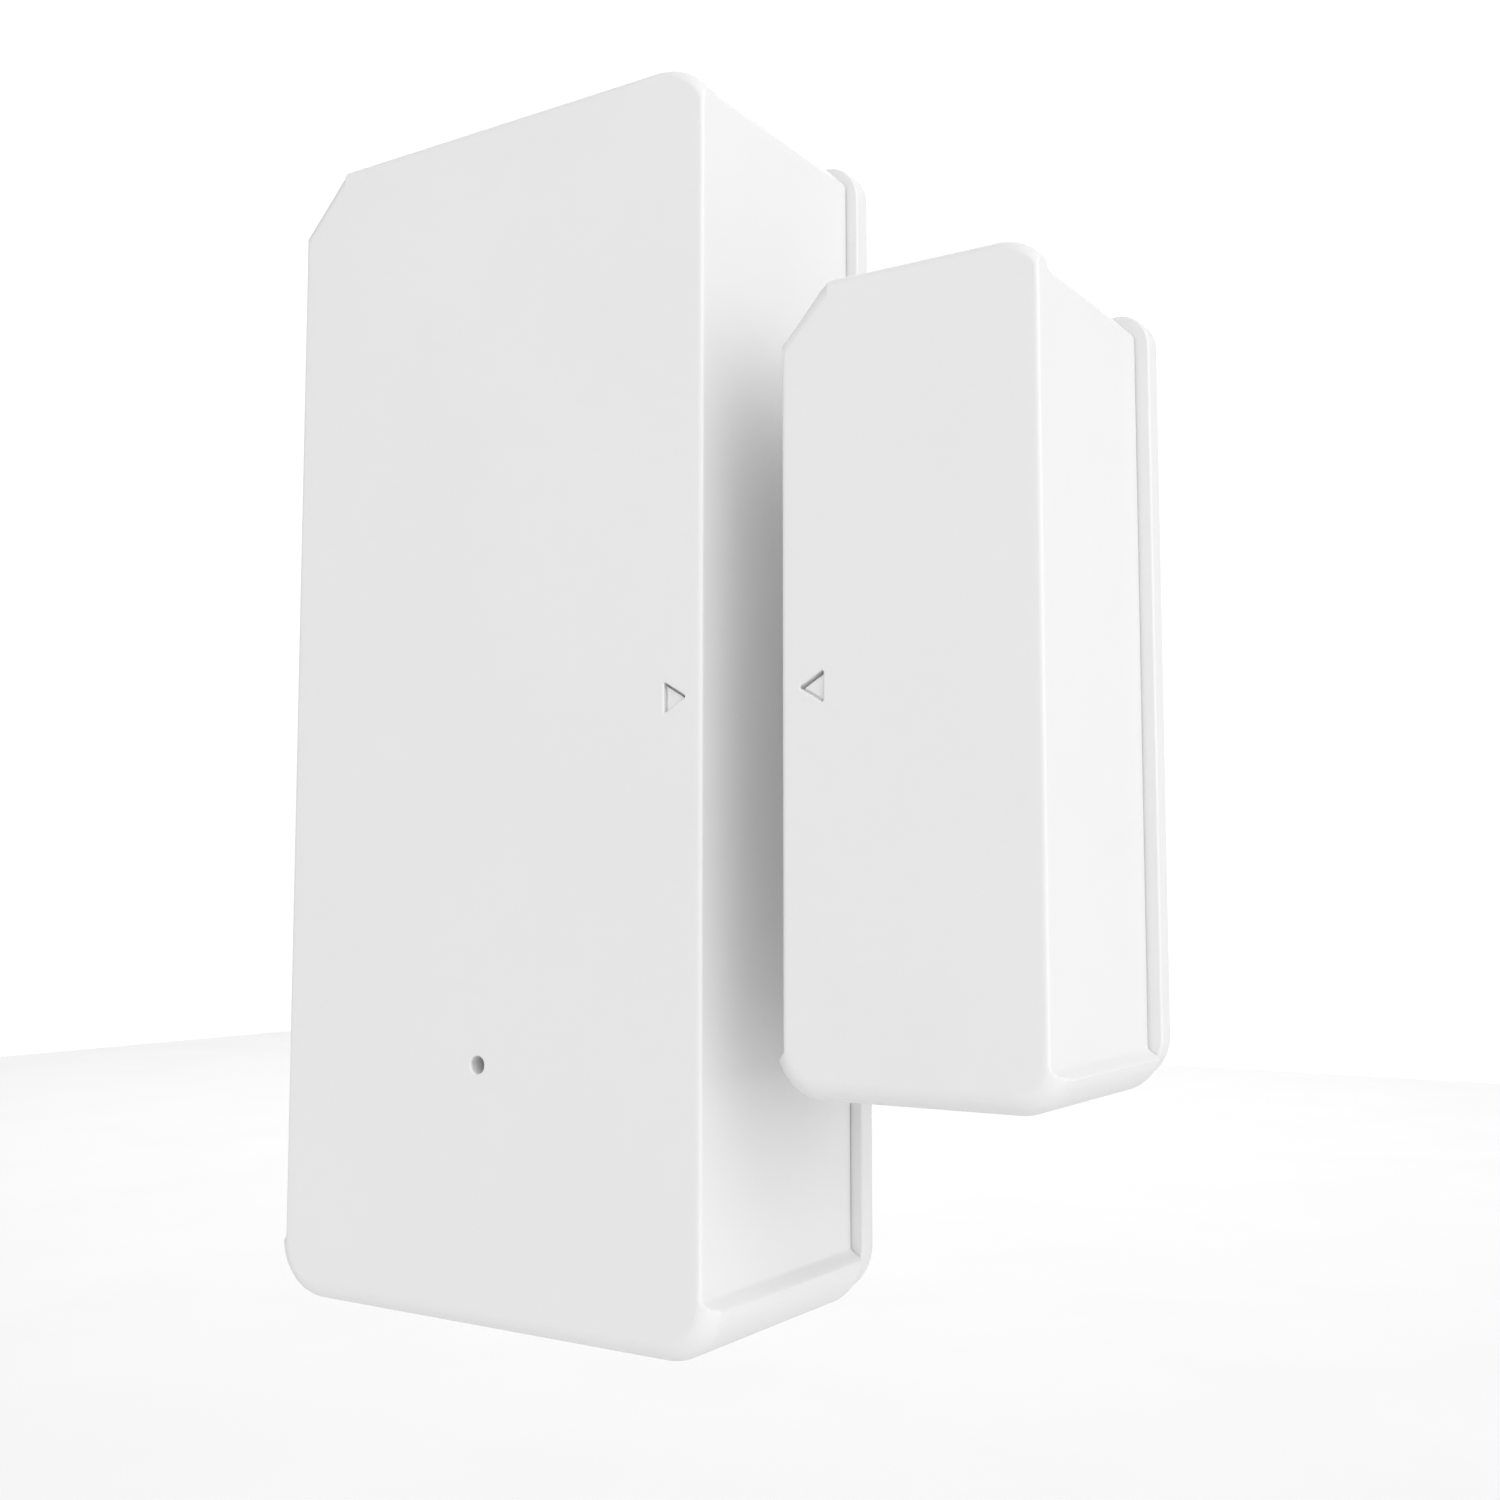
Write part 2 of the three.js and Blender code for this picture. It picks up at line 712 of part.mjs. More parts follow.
const TRAY_INNER_WIDTH = 4 * CELL.radius + CELL.gap + 2 * CELL.clearance;
const TRAY_LEFT = TRAY.x - TRAY_INNER_WIDTH / 2 - TRAY.wall;
const TRAY_RIGHT = TRAY.x + TRAY_INNER_WIDTH / 2 + TRAY.wall;
const TRAY_INNER_TOP = TRAY.top - TRAY.wall;
const TRAY_INNER_BOTTOM = TRAY_INNER_TOP - TRAY.inner;
const TRAY_BOTTOM = TRAY_INNER_BOTTOM - TRAY.wall;
const TRAY_FLOOR_TOP = TRAY.floor + TRAY.floorThickness;
const CELL_X = {
  left: TRAY.x - CELL.radius - CELL.gap / 2,
  right: TRAY.x + CELL.radius + CELL.gap / 2,
};
const PLATE_SPACE = CONTACT.thickness + CONTACT.gap;
const LEFT_CELL_TOP = TRAY_INNER_TOP - PLATE_SPACE;
const RIGHT_CELL_BOTTOM = TRAY_INNER_BOTTOM + PLATE_SPACE;

// The tray's end walls reach round the cells' ends; its side walls are lower between them. Saddles
// carry the cells, pins and two screwed ears hold it to the board.
function batteryTray() {
  const outer = block([TRAY_LEFT, TRAY.floor, TRAY_BOTTOM], [TRAY_RIGHT, TRAY.endTop, TRAY.top]);
  const inner = block(
    [TRAY_LEFT + TRAY.wall, TRAY_FLOOR_TOP, TRAY_INNER_BOTTOM],
    [TRAY_RIGHT - TRAY.wall, TRAY.endTop + CUT_THROUGH, TRAY_INNER_TOP],
  );
  const sideOpening = block(
    [TRAY_LEFT - CUT_THROUGH, TRAY.sideTop, TRAY_INNER_BOTTOM + TRAY.endWallReach],
    [TRAY_RIGHT + CUT_THROUGH, TRAY.endTop + CUT_THROUGH, TRAY_INNER_TOP - TRAY.endWallReach],
  );
  const corner = new THREE.Shape();
  corner.moveTo(TRAY_LEFT - CUT_THROUGH, TRAY.top + CUT_THROUGH);
  corner.lineTo(TRAY_LEFT - CUT_THROUGH, TRAY.top - TRAY.cornerCut - CUT_THROUGH);
  corner.lineTo(TRAY_LEFT + TRAY.cornerCut + CUT_THROUGH, TRAY.top + CUT_THROUGH);
  const cornerCut = sheet(corner, TRAY.floor - CUT_THROUGH, TRAY.endTop + CUT_THROUGH);
  const box = carve(outer, { cut: [inner, sideOpening, cornerCut] });

  const ears = Object.values(TRAY_SCREWS).map(([x, z]) => block(
    [TRAY_RIGHT - OVERLAP, TRAY.floor, z - TRAY_EAR.half],
    [x + TRAY_EAR.reach, TRAY_FLOOR_TOP, z + TRAY_EAR.half],
  ));
  const earHoles = Object.values(TRAY_SCREWS).map(([x, z]) => (
    rod(SCREW.hole, x, z, TRAY.floor - CUT_THROUGH, TRAY_FLOOR_TOP + CUT_THROUGH)
  ));
  const pins = TRAY_PINS.map(([x, z]) => rod(PIN.radius, x, z, PIN.tip, TRAY.floor + OVERLAP));
  const saddles = SADDLE.starts.map((z) => block(
    [TRAY_LEFT + OVERLAP, TRAY_FLOOR_TOP - OVERLAP, z],
    [TRAY_RIGHT - OVERLAP, TRAY_FLOOR_TOP + SADDLE.height, z + SADDLE.thickness],
  ));
  const cellRoom = Object.values(CELL_X).map((x) => {
    const radius = CELL.radius + SADDLE.clearance;
    const room = new THREE.CylinderGeometry(radius, radius, TRAY.inner, ROUND_SIDES);
    return room.rotateX(Math.PI / 2).translate(x, CELL.y, (TRAY_INNER_TOP + TRAY_INNER_BOTTOM) / 2);
  });
  const slotHalf = CONTACT.tabWidth / 2 + CONTACT.slotClearance;
  const slotTop = TRAY_INNER_BOTTOM + CONTACT.thickness + CONTACT.slotClearance;
  const tabSlots = Object.values(CELL_X).map((x) => block(
    [x - slotHalf, TRAY.floor - CUT_THROUGH, TRAY_INNER_BOTTOM],
    [x + slotHalf, TRAY_FLOOR_TOP + CONTACT.slotClearance, slotTop],
  ));
  return carve(box, { join: [...ears, ...pins, ...saddles], cut: [...earHoles, ...tabSlots, ...cellRoom] });
}

// A cell's three pieces, drawn with the negative end at height 0. The jacket's film is rolled over
// the shoulder, and the cap and the base sit in it.
function cellPieces() {
  const { radius, length, capRadius, capHeight, ringRadius, baseRadius, plate, seam, round } = CELL;
  const shoulder = length - capHeight - plate;
  return {
    jacket: turned([
      [0, plate],
      [baseRadius + round / 2, plate],
      [radius - 2 * round, 0],
      [radius - round, 0],
      [radius, round],
      [radius, shoulder + round / 2],
      [radius - round, shoulder + plate],
      [ringRadius + round / 2, shoulder + plate],
      [ringRadius + round / 2, shoulder],
      [0, shoulder],
    ]),
    cap: turned([
      [0, shoulder + seam],
      [ringRadius, shoulder + seam],
      [ringRadius, shoulder + plate],
      [capRadius + round, shoulder + plate],
      [capRadius, shoulder + plate + round],
      [capRadius, length - round],
      [capRadius - round, length],
      [0, length],
    ]),
    base: turned([
      [0, 0],
      [baseRadius - round / 2, 0],
      [baseRadius, round / 2],
      [baseRadius, plate - seam],
      [0, plate - seam],
    ]),
  };
}

// A flat contact at an end wall, with a tab through the tray's floor to the board.
function contactPlate(x) {
  const z0 = TRAY_INNER_BOTTOM;
  const z1 = z0 + CONTACT.thickness;
  const plate = block(
    [x - CONTACT.width / 2, TRAY_FLOOR_TOP + CONTACT.floorGap, z0],
    [x + CONTACT.width / 2, CELL.y + CONTACT.height / 2, z1],
  );
  const tab = block([x - CONTACT.tabWidth / 2, BOARD.rear, z0], [x + CONTACT.tabWidth / 2, CELL.y, z1]);
  return carve(plate, { join: [tab] });
}

// The one contact across both cells at the top joins them in series.
function bridgePlate() {
  const z1 = TRAY_INNER_TOP;
  return block(
    [CELL_X.left - CONTACT.width / 2, TRAY_FLOOR_TOP + CONTACT.floorGap, z1 - CONTACT.thickness],
    [CELL_X.right + CONTACT.width / 2, CELL.y + CONTACT.height / 2, z1],
  );
}

// A tapered coil that stands on a contact at height 0 and presses on the cell at the given height.
function contactSpring(height) {
  const steps = SPRING.turns * SPRING.stepsPerTurn;
  const points = [];
  const rise = height - 2 * SPRING.wire;
  for (let step = 0; step <= steps; step += 1) {
    const share = step / steps;
    const angle = share * SPRING.turns * 2 * Math.PI;
    const radius = SPRING.wideRadius + (SPRING.narrowRadius - SPRING.wideRadius) * share;
    const z = SPRING.wire + rise * share;
    points.push(new THREE.Vector3(radius * Math.cos(angle), radius * Math.sin(angle), z));
  }
  const section = new THREE.Shape();
  section.absarc(0, 0, SPRING.wire, 0, 2 * Math.PI, false);
  return new THREE.ExtrudeGeometry(section, {
    extrudePath: new THREE.CatmullRomCurve3(points),
    steps,
    curveSegments: 3,
    bevelEnabled: false,
  });
}

// ---------------------------------------------------------------- magnet unit's inside

// A tray for the bar magnet, open to the back, with a finger notch across its middle.
function magnetCradle() {
  const { width, height, x, front } = BAR_MAGNET;
  const halfX = width / 2 + CRADLE.clearance;
  const halfZ = height / 2 + CRADLE.clearance;
  const outer = block(
    [x - halfX - CRADLE.wall, FRONT_WALL, -halfZ - CRADLE.wall],
    [x + halfX + CRADLE.wall, CRADLE.top, halfZ + CRADLE.wall],
  );
  const pocket = block([x - halfX, front, -halfZ], [x + halfX, CRADLE.top + CUT_THROUGH, halfZ]);
  const fingerNotch = block(
    [x - width, CRADLE.notchFloor, -CRADLE.notchHalf],
    [x + width, CRADLE.top + CUT_THROUGH, CRADLE.notchHalf],
  );
  return carve(outer, { cut: [pocket, fingerNotch] });
}

function barMagnet() {
  const { width, depth, height, x, front, bevel } = BAR_MAGNET;
  const shape = new THREE.Shape();
  shape.moveTo(x - width / 2 + bevel, -height / 2);
  shape.lineTo(x + width / 2 - bevel, -height / 2);
  shape.lineTo(x + width / 2, -height / 2 + bevel);
  shape.lineTo(x + width / 2, height / 2 - bevel);
  shape.lineTo(x + width / 2 - bevel, height / 2);
  shape.lineTo(x - width / 2 + bevel, height / 2);
  shape.lineTo(x - width / 2, height / 2 - bevel);
  shape.lineTo(x - width / 2, -height / 2 + bevel);
  return sheet(shape, front, front + depth);
}

const FOAM_FRONT = BAR_MAGNET.front + BAR_MAGNET.depth;

function magnetFoam() {
  const { x } = BAR_MAGNET;
  return block(
    [x - FOAM.width / 2, FOAM_FRONT, -FOAM.height / 2],
    [x + FOAM.width / 2, FOAM_FRONT + FOAM.thickness, FOAM.height / 2],
  );
}

// A post on the magnet unit's back plate that presses the foam on the magnet.
function magnetPost() {
  const { x } = BAR_MAGNET;
  return block(
    [x - POST.width / 2, FOAM_FRONT + FOAM.thickness, -POST.height / 2],
    [x + POST.width / 2, MAGNET_UNIT.shellDepth + PARTING_GAP + OVERLAP, POST.height / 2],
  );
}

// ---------------------------------------------------------------- assembly

function addPiece(parent, name, geometry, finish, [x, y, z] = [0, 0, 0]) {
  const mesh = new THREE.Mesh(geometry, new THREE.MeshStandardMaterial(FINISHES[finish]));
  mesh.name = name;
  mesh.position.set(x, y, z);
  parent.add(mesh);
  return mesh;
}

function addCell(parent, side, x, negativeZ, flipped) {
  for (const [piece, geometry] of Object.entries(cellPieces())) {
    const mesh = addPiece(parent, `cell_${side}_${piece}`, geometry, 'steel', [x, CELL.y, negativeZ]);
    mesh.material.setValues(FINISHES[piece === 'jacket' ? 'jacket' : 'steel']);
    mesh.rotation.y = flipped ? Math.PI : 0;
  }
}

function buildTransmitter() {
  const unit = new THREE.Group();
  addPiece(unit, 'front_shell', transmitterShell(), 'whiteShell');
  addPiece(unit, 'back_plate', backPlate(TRANSMITTER, ARM_WIDTH.transmitter, []), 'whitePlate');
  addPiece(unit, 'adhesive_pad', adhesivePad(TRANSMITTER), 'tape');
  addPiece(unit, 'light_pipe', lightPipe(), 'clear');
  addPiece(unit, 'circuit_board', circuitBoard(), 'board');
  addPiece(unit, 'status_led', statusLed(), 'ledResin');
  addPiece(unit, 'wifi_module_board', wifiModuleBoard(), 'board');
  addPiece(unit, 'wifi_shield_can', wifiShieldCan(), 'nickel');
  addPiece(unit, 'switch_body', switchBody(), 'darkPlastic');
  addPiece(unit, 'switch_plunger', switchPlunger(), 'darkPlastic');
  addPiece(unit, 'pairing_button', pairingButton(), 'whitePlate');
  addPiece(unit, 'capacitor', capacitor(), 'steel');
  addPiece(unit, 'regulator', regulator(), 'darkPlastic');

  const reedPlace = [REED.x, REED.y, 0];
  const fixedFace = -REED.gap / 2 - REED.thickness;
  addPiece(unit, 'reed_glass', reedGlass(), 'greenGlass', reedPlace);
  addPiece(unit, 'reed_fixed_blade', reedLead(-1, fixedFace, REED.overlap), 'nickel', reedPlace);
  const upperStart = REED.pivotZ + REED.pivotGap;
  addPiece(unit, 'reed_upper_lead', reedLead(1, REED.gap / 2, upperStart), 'nickel', reedPlace);
  addPiece(unit, 'reed_moving_blade', reedMovingBlade(), 'nickel', reedPlace);

  addPiece(unit, 'battery_tray', batteryTray(), 'trayPlastic');
  addPiece(unit, 'contact_negative', contactPlate(CELL_X.left), 'nickel');
  addPiece(unit, 'contact_positive', contactPlate(CELL_X.right), 'nickel');
  addPiece(unit, 'contact_bridge', bridgePlate(), 'nickel');
  addCell(unit, 'left', CELL_X.left, LEFT_CELL_TOP - CELL.length, false);
  addCell(unit, 'right', CELL_X.right, RIGHT_CELL_BOTTOM + CELL.length, true);

  const springHeight = TRAY.inner - 2 * PLATE_SPACE - CELL.length - CONTACT.gap;
  const springFoot = CONTACT.thickness + CONTACT.gap;
  const leftSpring = [CELL_X.left, CELL.y, TRAY_INNER_BOTTOM + springFoot];
  addPiece(unit, 'spring_left', contactSpring(springHeight), 'steel', leftSpring);
  const rightSpring = [CELL_X.right, CELL.y, TRAY_INNER_TOP - springFoot];
  addPiece(unit, 'spring_right', contactSpring(springHeight), 'steel', rightSpring).rotation.y = Math.PI;

  for (const [side, place] of Object.entries(BOARD_SCREWS)) {
    addPiece(unit, `board_screw_${side}`, screw(place, BOARD.rear), 'steel');
  }
  for (const [side, place] of Object.entries(TRAY_SCREWS)) {
    addPiece(unit, `tray_screw_${side}`, screw(place, TRAY_FLOOR_TOP), 'steel');
  }
  return unit;
}

function buildMagnetUnit() {
  const unit = new THREE.Group();
  addPiece(unit, 'magnet_shell', magnetShell(), 'whiteShell');
  const backWithPost = backPlate(MAGNET_UNIT, ARM_WIDTH.magnet, [magnetPost()]);
  addPiece(unit, 'magnet_back_plate', backWithPost, 'whitePlate');
  addPiece(unit, 'magnet_adhesive_pad', adhesivePad(MAGNET_UNIT), 'tape');
  addPiece(unit, 'magnet_cradle', magnetCradle(), 'trayPlastic');
  addPiece(unit, 'bar_magnet', barMagnet(), 'nickel');
  addPiece(unit, 'magnet_foam', magnetFoam(), 'foam');
  return unit;
}

const group = new THREE.Group();
const transmitter = buildTransmitter();
transmitter.position.set(0, -TRANSMITTER.depth, 0);
group.add(transmitter);

const magnetUnit = buildMagnetUnit();
const magnetX = TRANSMITTER.width / 2 + UNIT_GAP + MAGNET_UNIT.width / 2;
magnetUnit.position.set(magnetX, -TRANSMITTER.depth, 0);
group.add(magnetUnit);

export default group;
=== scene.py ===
import math

import bmesh
import bpy
from mathutils import Matrix, Vector


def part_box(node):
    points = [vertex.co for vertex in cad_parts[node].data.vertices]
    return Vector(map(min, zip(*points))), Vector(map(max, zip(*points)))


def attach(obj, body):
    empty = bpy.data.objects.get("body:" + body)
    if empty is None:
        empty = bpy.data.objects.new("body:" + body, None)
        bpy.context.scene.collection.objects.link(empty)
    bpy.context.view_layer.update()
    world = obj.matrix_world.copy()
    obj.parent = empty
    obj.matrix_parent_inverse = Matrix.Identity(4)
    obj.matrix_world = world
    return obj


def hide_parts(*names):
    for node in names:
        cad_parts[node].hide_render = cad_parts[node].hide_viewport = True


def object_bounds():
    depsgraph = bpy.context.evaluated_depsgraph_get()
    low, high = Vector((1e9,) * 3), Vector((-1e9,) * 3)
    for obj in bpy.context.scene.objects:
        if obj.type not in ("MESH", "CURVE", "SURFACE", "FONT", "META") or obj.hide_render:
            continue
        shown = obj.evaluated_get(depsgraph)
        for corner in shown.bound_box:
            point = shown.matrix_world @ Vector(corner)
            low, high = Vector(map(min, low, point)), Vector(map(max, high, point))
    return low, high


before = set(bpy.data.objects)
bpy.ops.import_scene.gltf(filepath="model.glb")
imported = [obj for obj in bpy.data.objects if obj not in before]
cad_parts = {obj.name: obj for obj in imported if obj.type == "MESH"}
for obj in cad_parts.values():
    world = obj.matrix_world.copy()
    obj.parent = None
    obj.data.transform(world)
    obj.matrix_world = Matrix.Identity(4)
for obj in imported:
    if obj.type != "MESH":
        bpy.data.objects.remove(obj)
CAD_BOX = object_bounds()

# Lengths in this script are millimetres unless a name says otherwise; pieces are made in metres.
MM = 0.001

# ---------------------------------------------------------------- driving values

CAMERA_PLACE = (66.3, -91.4, -10.6)
CAMERA_YAW = 32.89
CAMERA_PITCH = 4.76
CAMERA_LENS = 40.68
SENSOR_WIDTH = 36

# The room's even glow, and its brighter sides: direction, added strength, and the cosines between
# which it rises.
ROOM_GLOW = 0.03
ROOM_LOBES = [
    ((1, -0.1, 0), 1.6, 0.0, 1.0),
    ((0, 0, 1), 0.15, 0.0, 1.0),
    ((0, -1, 0), 1.0, 0.0, 1.0),
    ((-0.54, 0.84, 0.08), 1.0, 0.5, 0.85),
]

FLOOR_DROP = 120
FLOOR_SIZE = 2600

FRONT_WALL = 1.6
WALL = 1.85
FRONT_FILLET = 1.2
TOP_RIM_SHARE = 0.55
RIM_FADE = (0.4, 1.7)
RIM_FADE_DEPTHS = (1.35, 1.5, 1.7)
PANEL_RECESS = 0.8
PANEL_FILLET = 0.2
PANEL_FILLET_START = 0.017
LIP_RAMP = 0.75
PARTING_GAP = 0.06
PLATE_INSET = 0.05
PLATE_EDGE = 0.14
RIB_HEIGHT = 1.3
RIB_THICKNESS = 1.0
RIB_CLEARANCE = 0.2
PAD_INSET = 3.6
PAD_POCKET_DEPTH = 0.4
PAD_POCKET_GAP = 0.2
ARM = {"thickness": 0.8, "length": 6.2, "clearance": 0.3, "bump": 0.25}
LEAST_RADIUS = 0.4
MARK = {
    "base": 1.75, "length": 1.5, "depth": 0.25, "edge": 1.0, "drop": 0.2,
    "upper_groove": (0.18, 0.6), "left_groove": (0.12, 0.36),
}

ARC_STEPS = 32
SIDE_STEPS = 8


def box_mm(node):
    """Lowest and highest corner of a CAD node, in millimetres."""
    low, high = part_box(node)
    return Vector(low) / MM, Vector(high) / MM


def span(node):
    """A node's lowest corner, highest corner and middle."""
    low, high = box_mm(node)
    return low, high, (low + high) / 2


def middle(node):
    return span(node)[2]


# ---------------------------------------------------------------- materials

MATERIALS = {}


class Nodes:
    """Adds and links the nodes of one tree."""

    def __init__(self, tree):
        self.tree = tree

    def link(self, source, target):
        self.tree.links.new(source, target)

    def add(self, kind, values=(), sources=(), **settings):
        """A node with its own settings, values for some inputs and sources linked to others."""
        made = self.tree.nodes.new(kind)
        for name, value in settings.items():
            setattr(made, name, value)
        for socket, value in dict(values).items():
            made.inputs[socket].default_value = value
        for socket, source in dict(sources).items():
            self.link(source, made.inputs[socket])
        return made


class Shader(Nodes):
    """A Principled material with procedural inputs on the object's own coordinates, in metres. It is
    kept by name in MATERIALS."""

    def __init__(self, name, color, roughness, **sockets):
        material = bpy.data.materials.new(name)
        material.use_nodes = True
        MATERIALS[name] = material
        super().__init__(material.node_tree)
        self.surface = self.tree.nodes["Principled BSDF"]
        self.coordinates = self.add("ShaderNodeTexCoord").outputs["Object"]
        values = {"Base Color": (*color, 1), "Roughness": roughness, **sockets}
        for socket, value in values.items():
            self.surface.inputs[socket.replace("_", " ")].default_value = value

    def noise(self, size, detail=2.0, stretch=(1, 1, 1)):
        """Noise with features about this many millimetres across, stretched along each axis."""
        scale = [1 / (size * MM * factor) for factor in stretch]
        mapping = self.add("ShaderNodeMapping", {"Scale": scale}, {"Vector": self.coordinates})
        sources = {"Vector": mapping.outputs["Vector"]}
        return self.add("ShaderNodeTexNoise", {"Scale": 1.0, "Detail": detail}, sources).outputs["Fac"]

    def ramp(self, factor, stops):
        made = self.add("ShaderNodeValToRGB", sources={"Fac": factor})
        elements = made.color_ramp.elements
        while len(elements) < len(stops):
            elements.new(0.5)
        for element, (place, color) in zip(elements, stops):
            element.position = place
            element.color = (*color, 1)
        return made.outputs["Color"]

    def range(self, factor, low, high):
        """Spreads the middle of a noise between two values."""
        values = {"From Min": 0.3, "From Max": 0.7, "To Min": low, "To Max": high}
        return self.add("ShaderNodeMapRange", values, {"Value": factor}).outputs["Result"]

    def bump(self, height, depth, strength=1.0):
        """A bump this many millimetres deep."""
        made = self.add("ShaderNodeBump", {"Distance": depth * MM, "Strength": strength}, {"Height": height})
        self.link(made.outputs["Normal"], self.surface.inputs["Normal"])

    def color_from(self, source):
        self.link(source, self.surface.inputs["Base Color"])

    def roughness_from(self, source):
        self.link(source, self.surface.inputs["Roughness"])


def shade(color, factor):
    return tuple(channel * factor for channel in color)


def moulded_plastic(name, color, roughness, grain=0.16, grain_depth=0.006):
    """Injection-moulded plastic: a spark-eroded grain, and slow changes of tone and gloss."""
    shader = Shader(name, color, roughness)
    tone = shader.noise(14, detail=3)
    shader.color_from(shader.ramp(tone, [(0.3, shade(color, 0.985)), (0.7, color)]))
    gloss = shader.noise(3.5, detail=4)
    shader.roughness_from(shader.range(gloss, roughness - 0.04, roughness + 0.04))
    shader.bump(shader.noise(grain, detail=3), grain_depth, strength=0.6)


# ---------------------------------------------------------------- meshes

def add_object(name, data):
    made = bpy.data.objects.new(name, data)
    bpy.context.collection.objects.link(made)
    return made


def mesh_in_metres(name, bm):
    """Turns a bmesh in millimetres into a mesh in metres."""
    bmesh.ops.recalc_face_normals(bm, faces=bm.faces)
    bmesh.ops.scale(bm, vec=(MM, MM, MM), verts=bm.verts)
    mesh = bpy.data.meshes.new(name)
    bm.to_mesh(mesh)
    bm.free()
    return mesh


def finish_piece(name, bm, finish, replaces=None, body="transmitter", smooth_angle=32):
    """Turns a bmesh in millimetres into a piece in metres that rides on a body. Its slot has the
    name of its finish."""
    bmesh.ops.remove_doubles(bm, verts=bm.verts, dist=1e-5)
    mesh = mesh_in_metres(name, bm)
    mesh.materials.append(MATERIALS[finish])
    piece = add_object(name, mesh)
    smooth(piece, smooth_angle)
    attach(piece, body)
    if replaces:
        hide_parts(replaces)
    return piece


def smooth(piece, angle):
    """Smooth faces with sharp edges past an angle; large faces keep their own direction."""
    piece.data.shade_smooth()
    piece.data.set_sharp_from_angle(angle=math.radians(angle))
    weighted = piece.modifiers.new("weighted_normals", "WEIGHTED_NORMAL")
    weighted.keep_sharp = True
    weighted.weight = 80


def smooth_step(start, end, value):
    share = min(max((value - start) / (end - start), 0), 1)
    return share * share * (3 - 2 * share)


def rounded_outline(corners, steps=ARC_STEPS):
    """Points round a convex outline, given anticlockwise as (x, z, radius), each with its outward
    direction. A corner with no radius gives one point."""
    points = []
    for index, (x, z, radius) in enumerate(corners):
        before_x, before_z, _ = corners[index - 1]
        after_x, after_z, _ = corners[(index + 1) % len(corners)]
        start = math.atan2(before_x - x, z - before_z)
        end = math.atan2(x - after_x, after_z - z)
        turn = (end - start) % (2 * math.pi)
        reach = radius / (1 + math.cos(turn))
        centre_x = x - reach * (math.cos(start) + math.cos(end))
        centre_z = z - reach * (math.sin(start) + math.sin(end))
        count = steps if radius > 0 else 0
        for step in range(count + 1):
            angle = start + (turn * step / count if count else 0)
            nx, nz = math.cos(angle), math.sin(angle)
            points.append((centre_x + radius * nx, centre_z + radius * nz, nx, nz))
    return points


def bridge(bm, rings, closed_ends=True):
    """Quads between rings of the same length, and a cap at each end."""
    for first, second in zip(rings, rings[1:]):
        count = len(first)
        for index in range(count):
            after = (index + 1) % count
            bm.faces.new((first[index], first[after], second[after], second[index]))
    if closed_ends:
        bm.faces.new(rings[0])
        bm.faces.new(rings[-1])


def lathe(bm, profile, centre, axis="Y", sides=40):
    """A turned body from (radius, height) points; heights run along the axis from the centre."""
    rings = []
    poles = {}
    for index, (radius, height) in enumerate(profile):
        if radius < 1e-6:
            poles[index] = bm.verts.new(place_on_axis(0, 0, height, centre, axis))
            rings.append(None)
            continue
        ring = []
        for side in range(sides):
            angle = 2 * math.pi * side / sides
            across, along = radius * math.cos(angle), radius * math.sin(angle)
            ring.append(bm.verts.new(place_on_axis(across, along, height, centre, axis)))
        rings.append(ring)
    for index in range(len(rings) - 1):
        first, second = rings[index], rings[index + 1]
        for side in range(sides):
            after = (side + 1) % sides
            if first is None:
                bm.faces.new((poles[index], second[side], second[after]))
            elif second is None:
                bm.faces.new((first[side], first[after], poles[index + 1]))
            else:
                bm.faces.new((first[side], first[after], second[after], second[side]))


def turned_bm(profile, centre, axis="Y", sides=40):
    bm = bmesh.new()
    lathe(bm, profile, centre, axis, sides)
    return bm


def cylinder(radius, start, end):
    """A plain cylinder's profile, for lathe."""
    return [(0, start), (radius, start), (radius, end), (0, end)]


def place_on_axis(across, along, height, centre, axis):
    x, y, z = centre
    if axis == "Y":
        return (x + across, y + height, z + along)
    if axis == "Z":
        return (x + across, y + along, z + height)
    return (x + height, y + across, z + along)


def rounded_block(bm, low, high, radius, segments=3):
    """A box between two corners with rounded edges."""
    size = [high[axis] - low[axis] for axis in range(3)]
    centre = [(high[axis] + low[axis]) / 2 for axis in range(3)]
    made = bmesh.ops.create_cube(bm, size=1, matrix=Matrix.Translation(centre) @ Matrix.Diagonal((*size, 1)))
    edges = list({edge for vert in made["verts"] for edge in vert.link_edges})
    bmesh.ops.bevel(bm, geom=edges, offset=radius, segments=segments, affect="EDGES", profile=0.5)


def carve(piece, bms, operation="DIFFERENCE"):
    """Joins or cuts meshes, given in millimetres, into a piece."""
    for bm in bms:
        tool = add_object("cutter", mesh_in_metres("cutter", bm))
        boolean = piece.modifiers.new("carve", "BOOLEAN")
        boolean.operation = operation
        boolean.solver = "EXACT"
        boolean.object = tool
        piece.modifiers.move(len(piece.modifiers) - 1, 0)
        apply_first_modifier(piece)
        bpy.data.objects.remove(tool)


def apply_first_modifier(piece):
    others = [modifier for modifier in piece.modifiers][1:]
    for modifier in others:
        modifier.show_viewport = False
    bpy.context.view_layer.update()
    graph = bpy.context.evaluated_depsgraph_get()
    old = piece.data
    piece.data = bpy.data.meshes.new_from_object(piece.evaluated_get(graph))
    piece.modifiers.remove(piece.modifiers[0])
    for modifier in others:
        modifier.show_viewport = True
    bpy.data.meshes.remove(old)


# ---------------------------------------------------------------- the two boxes

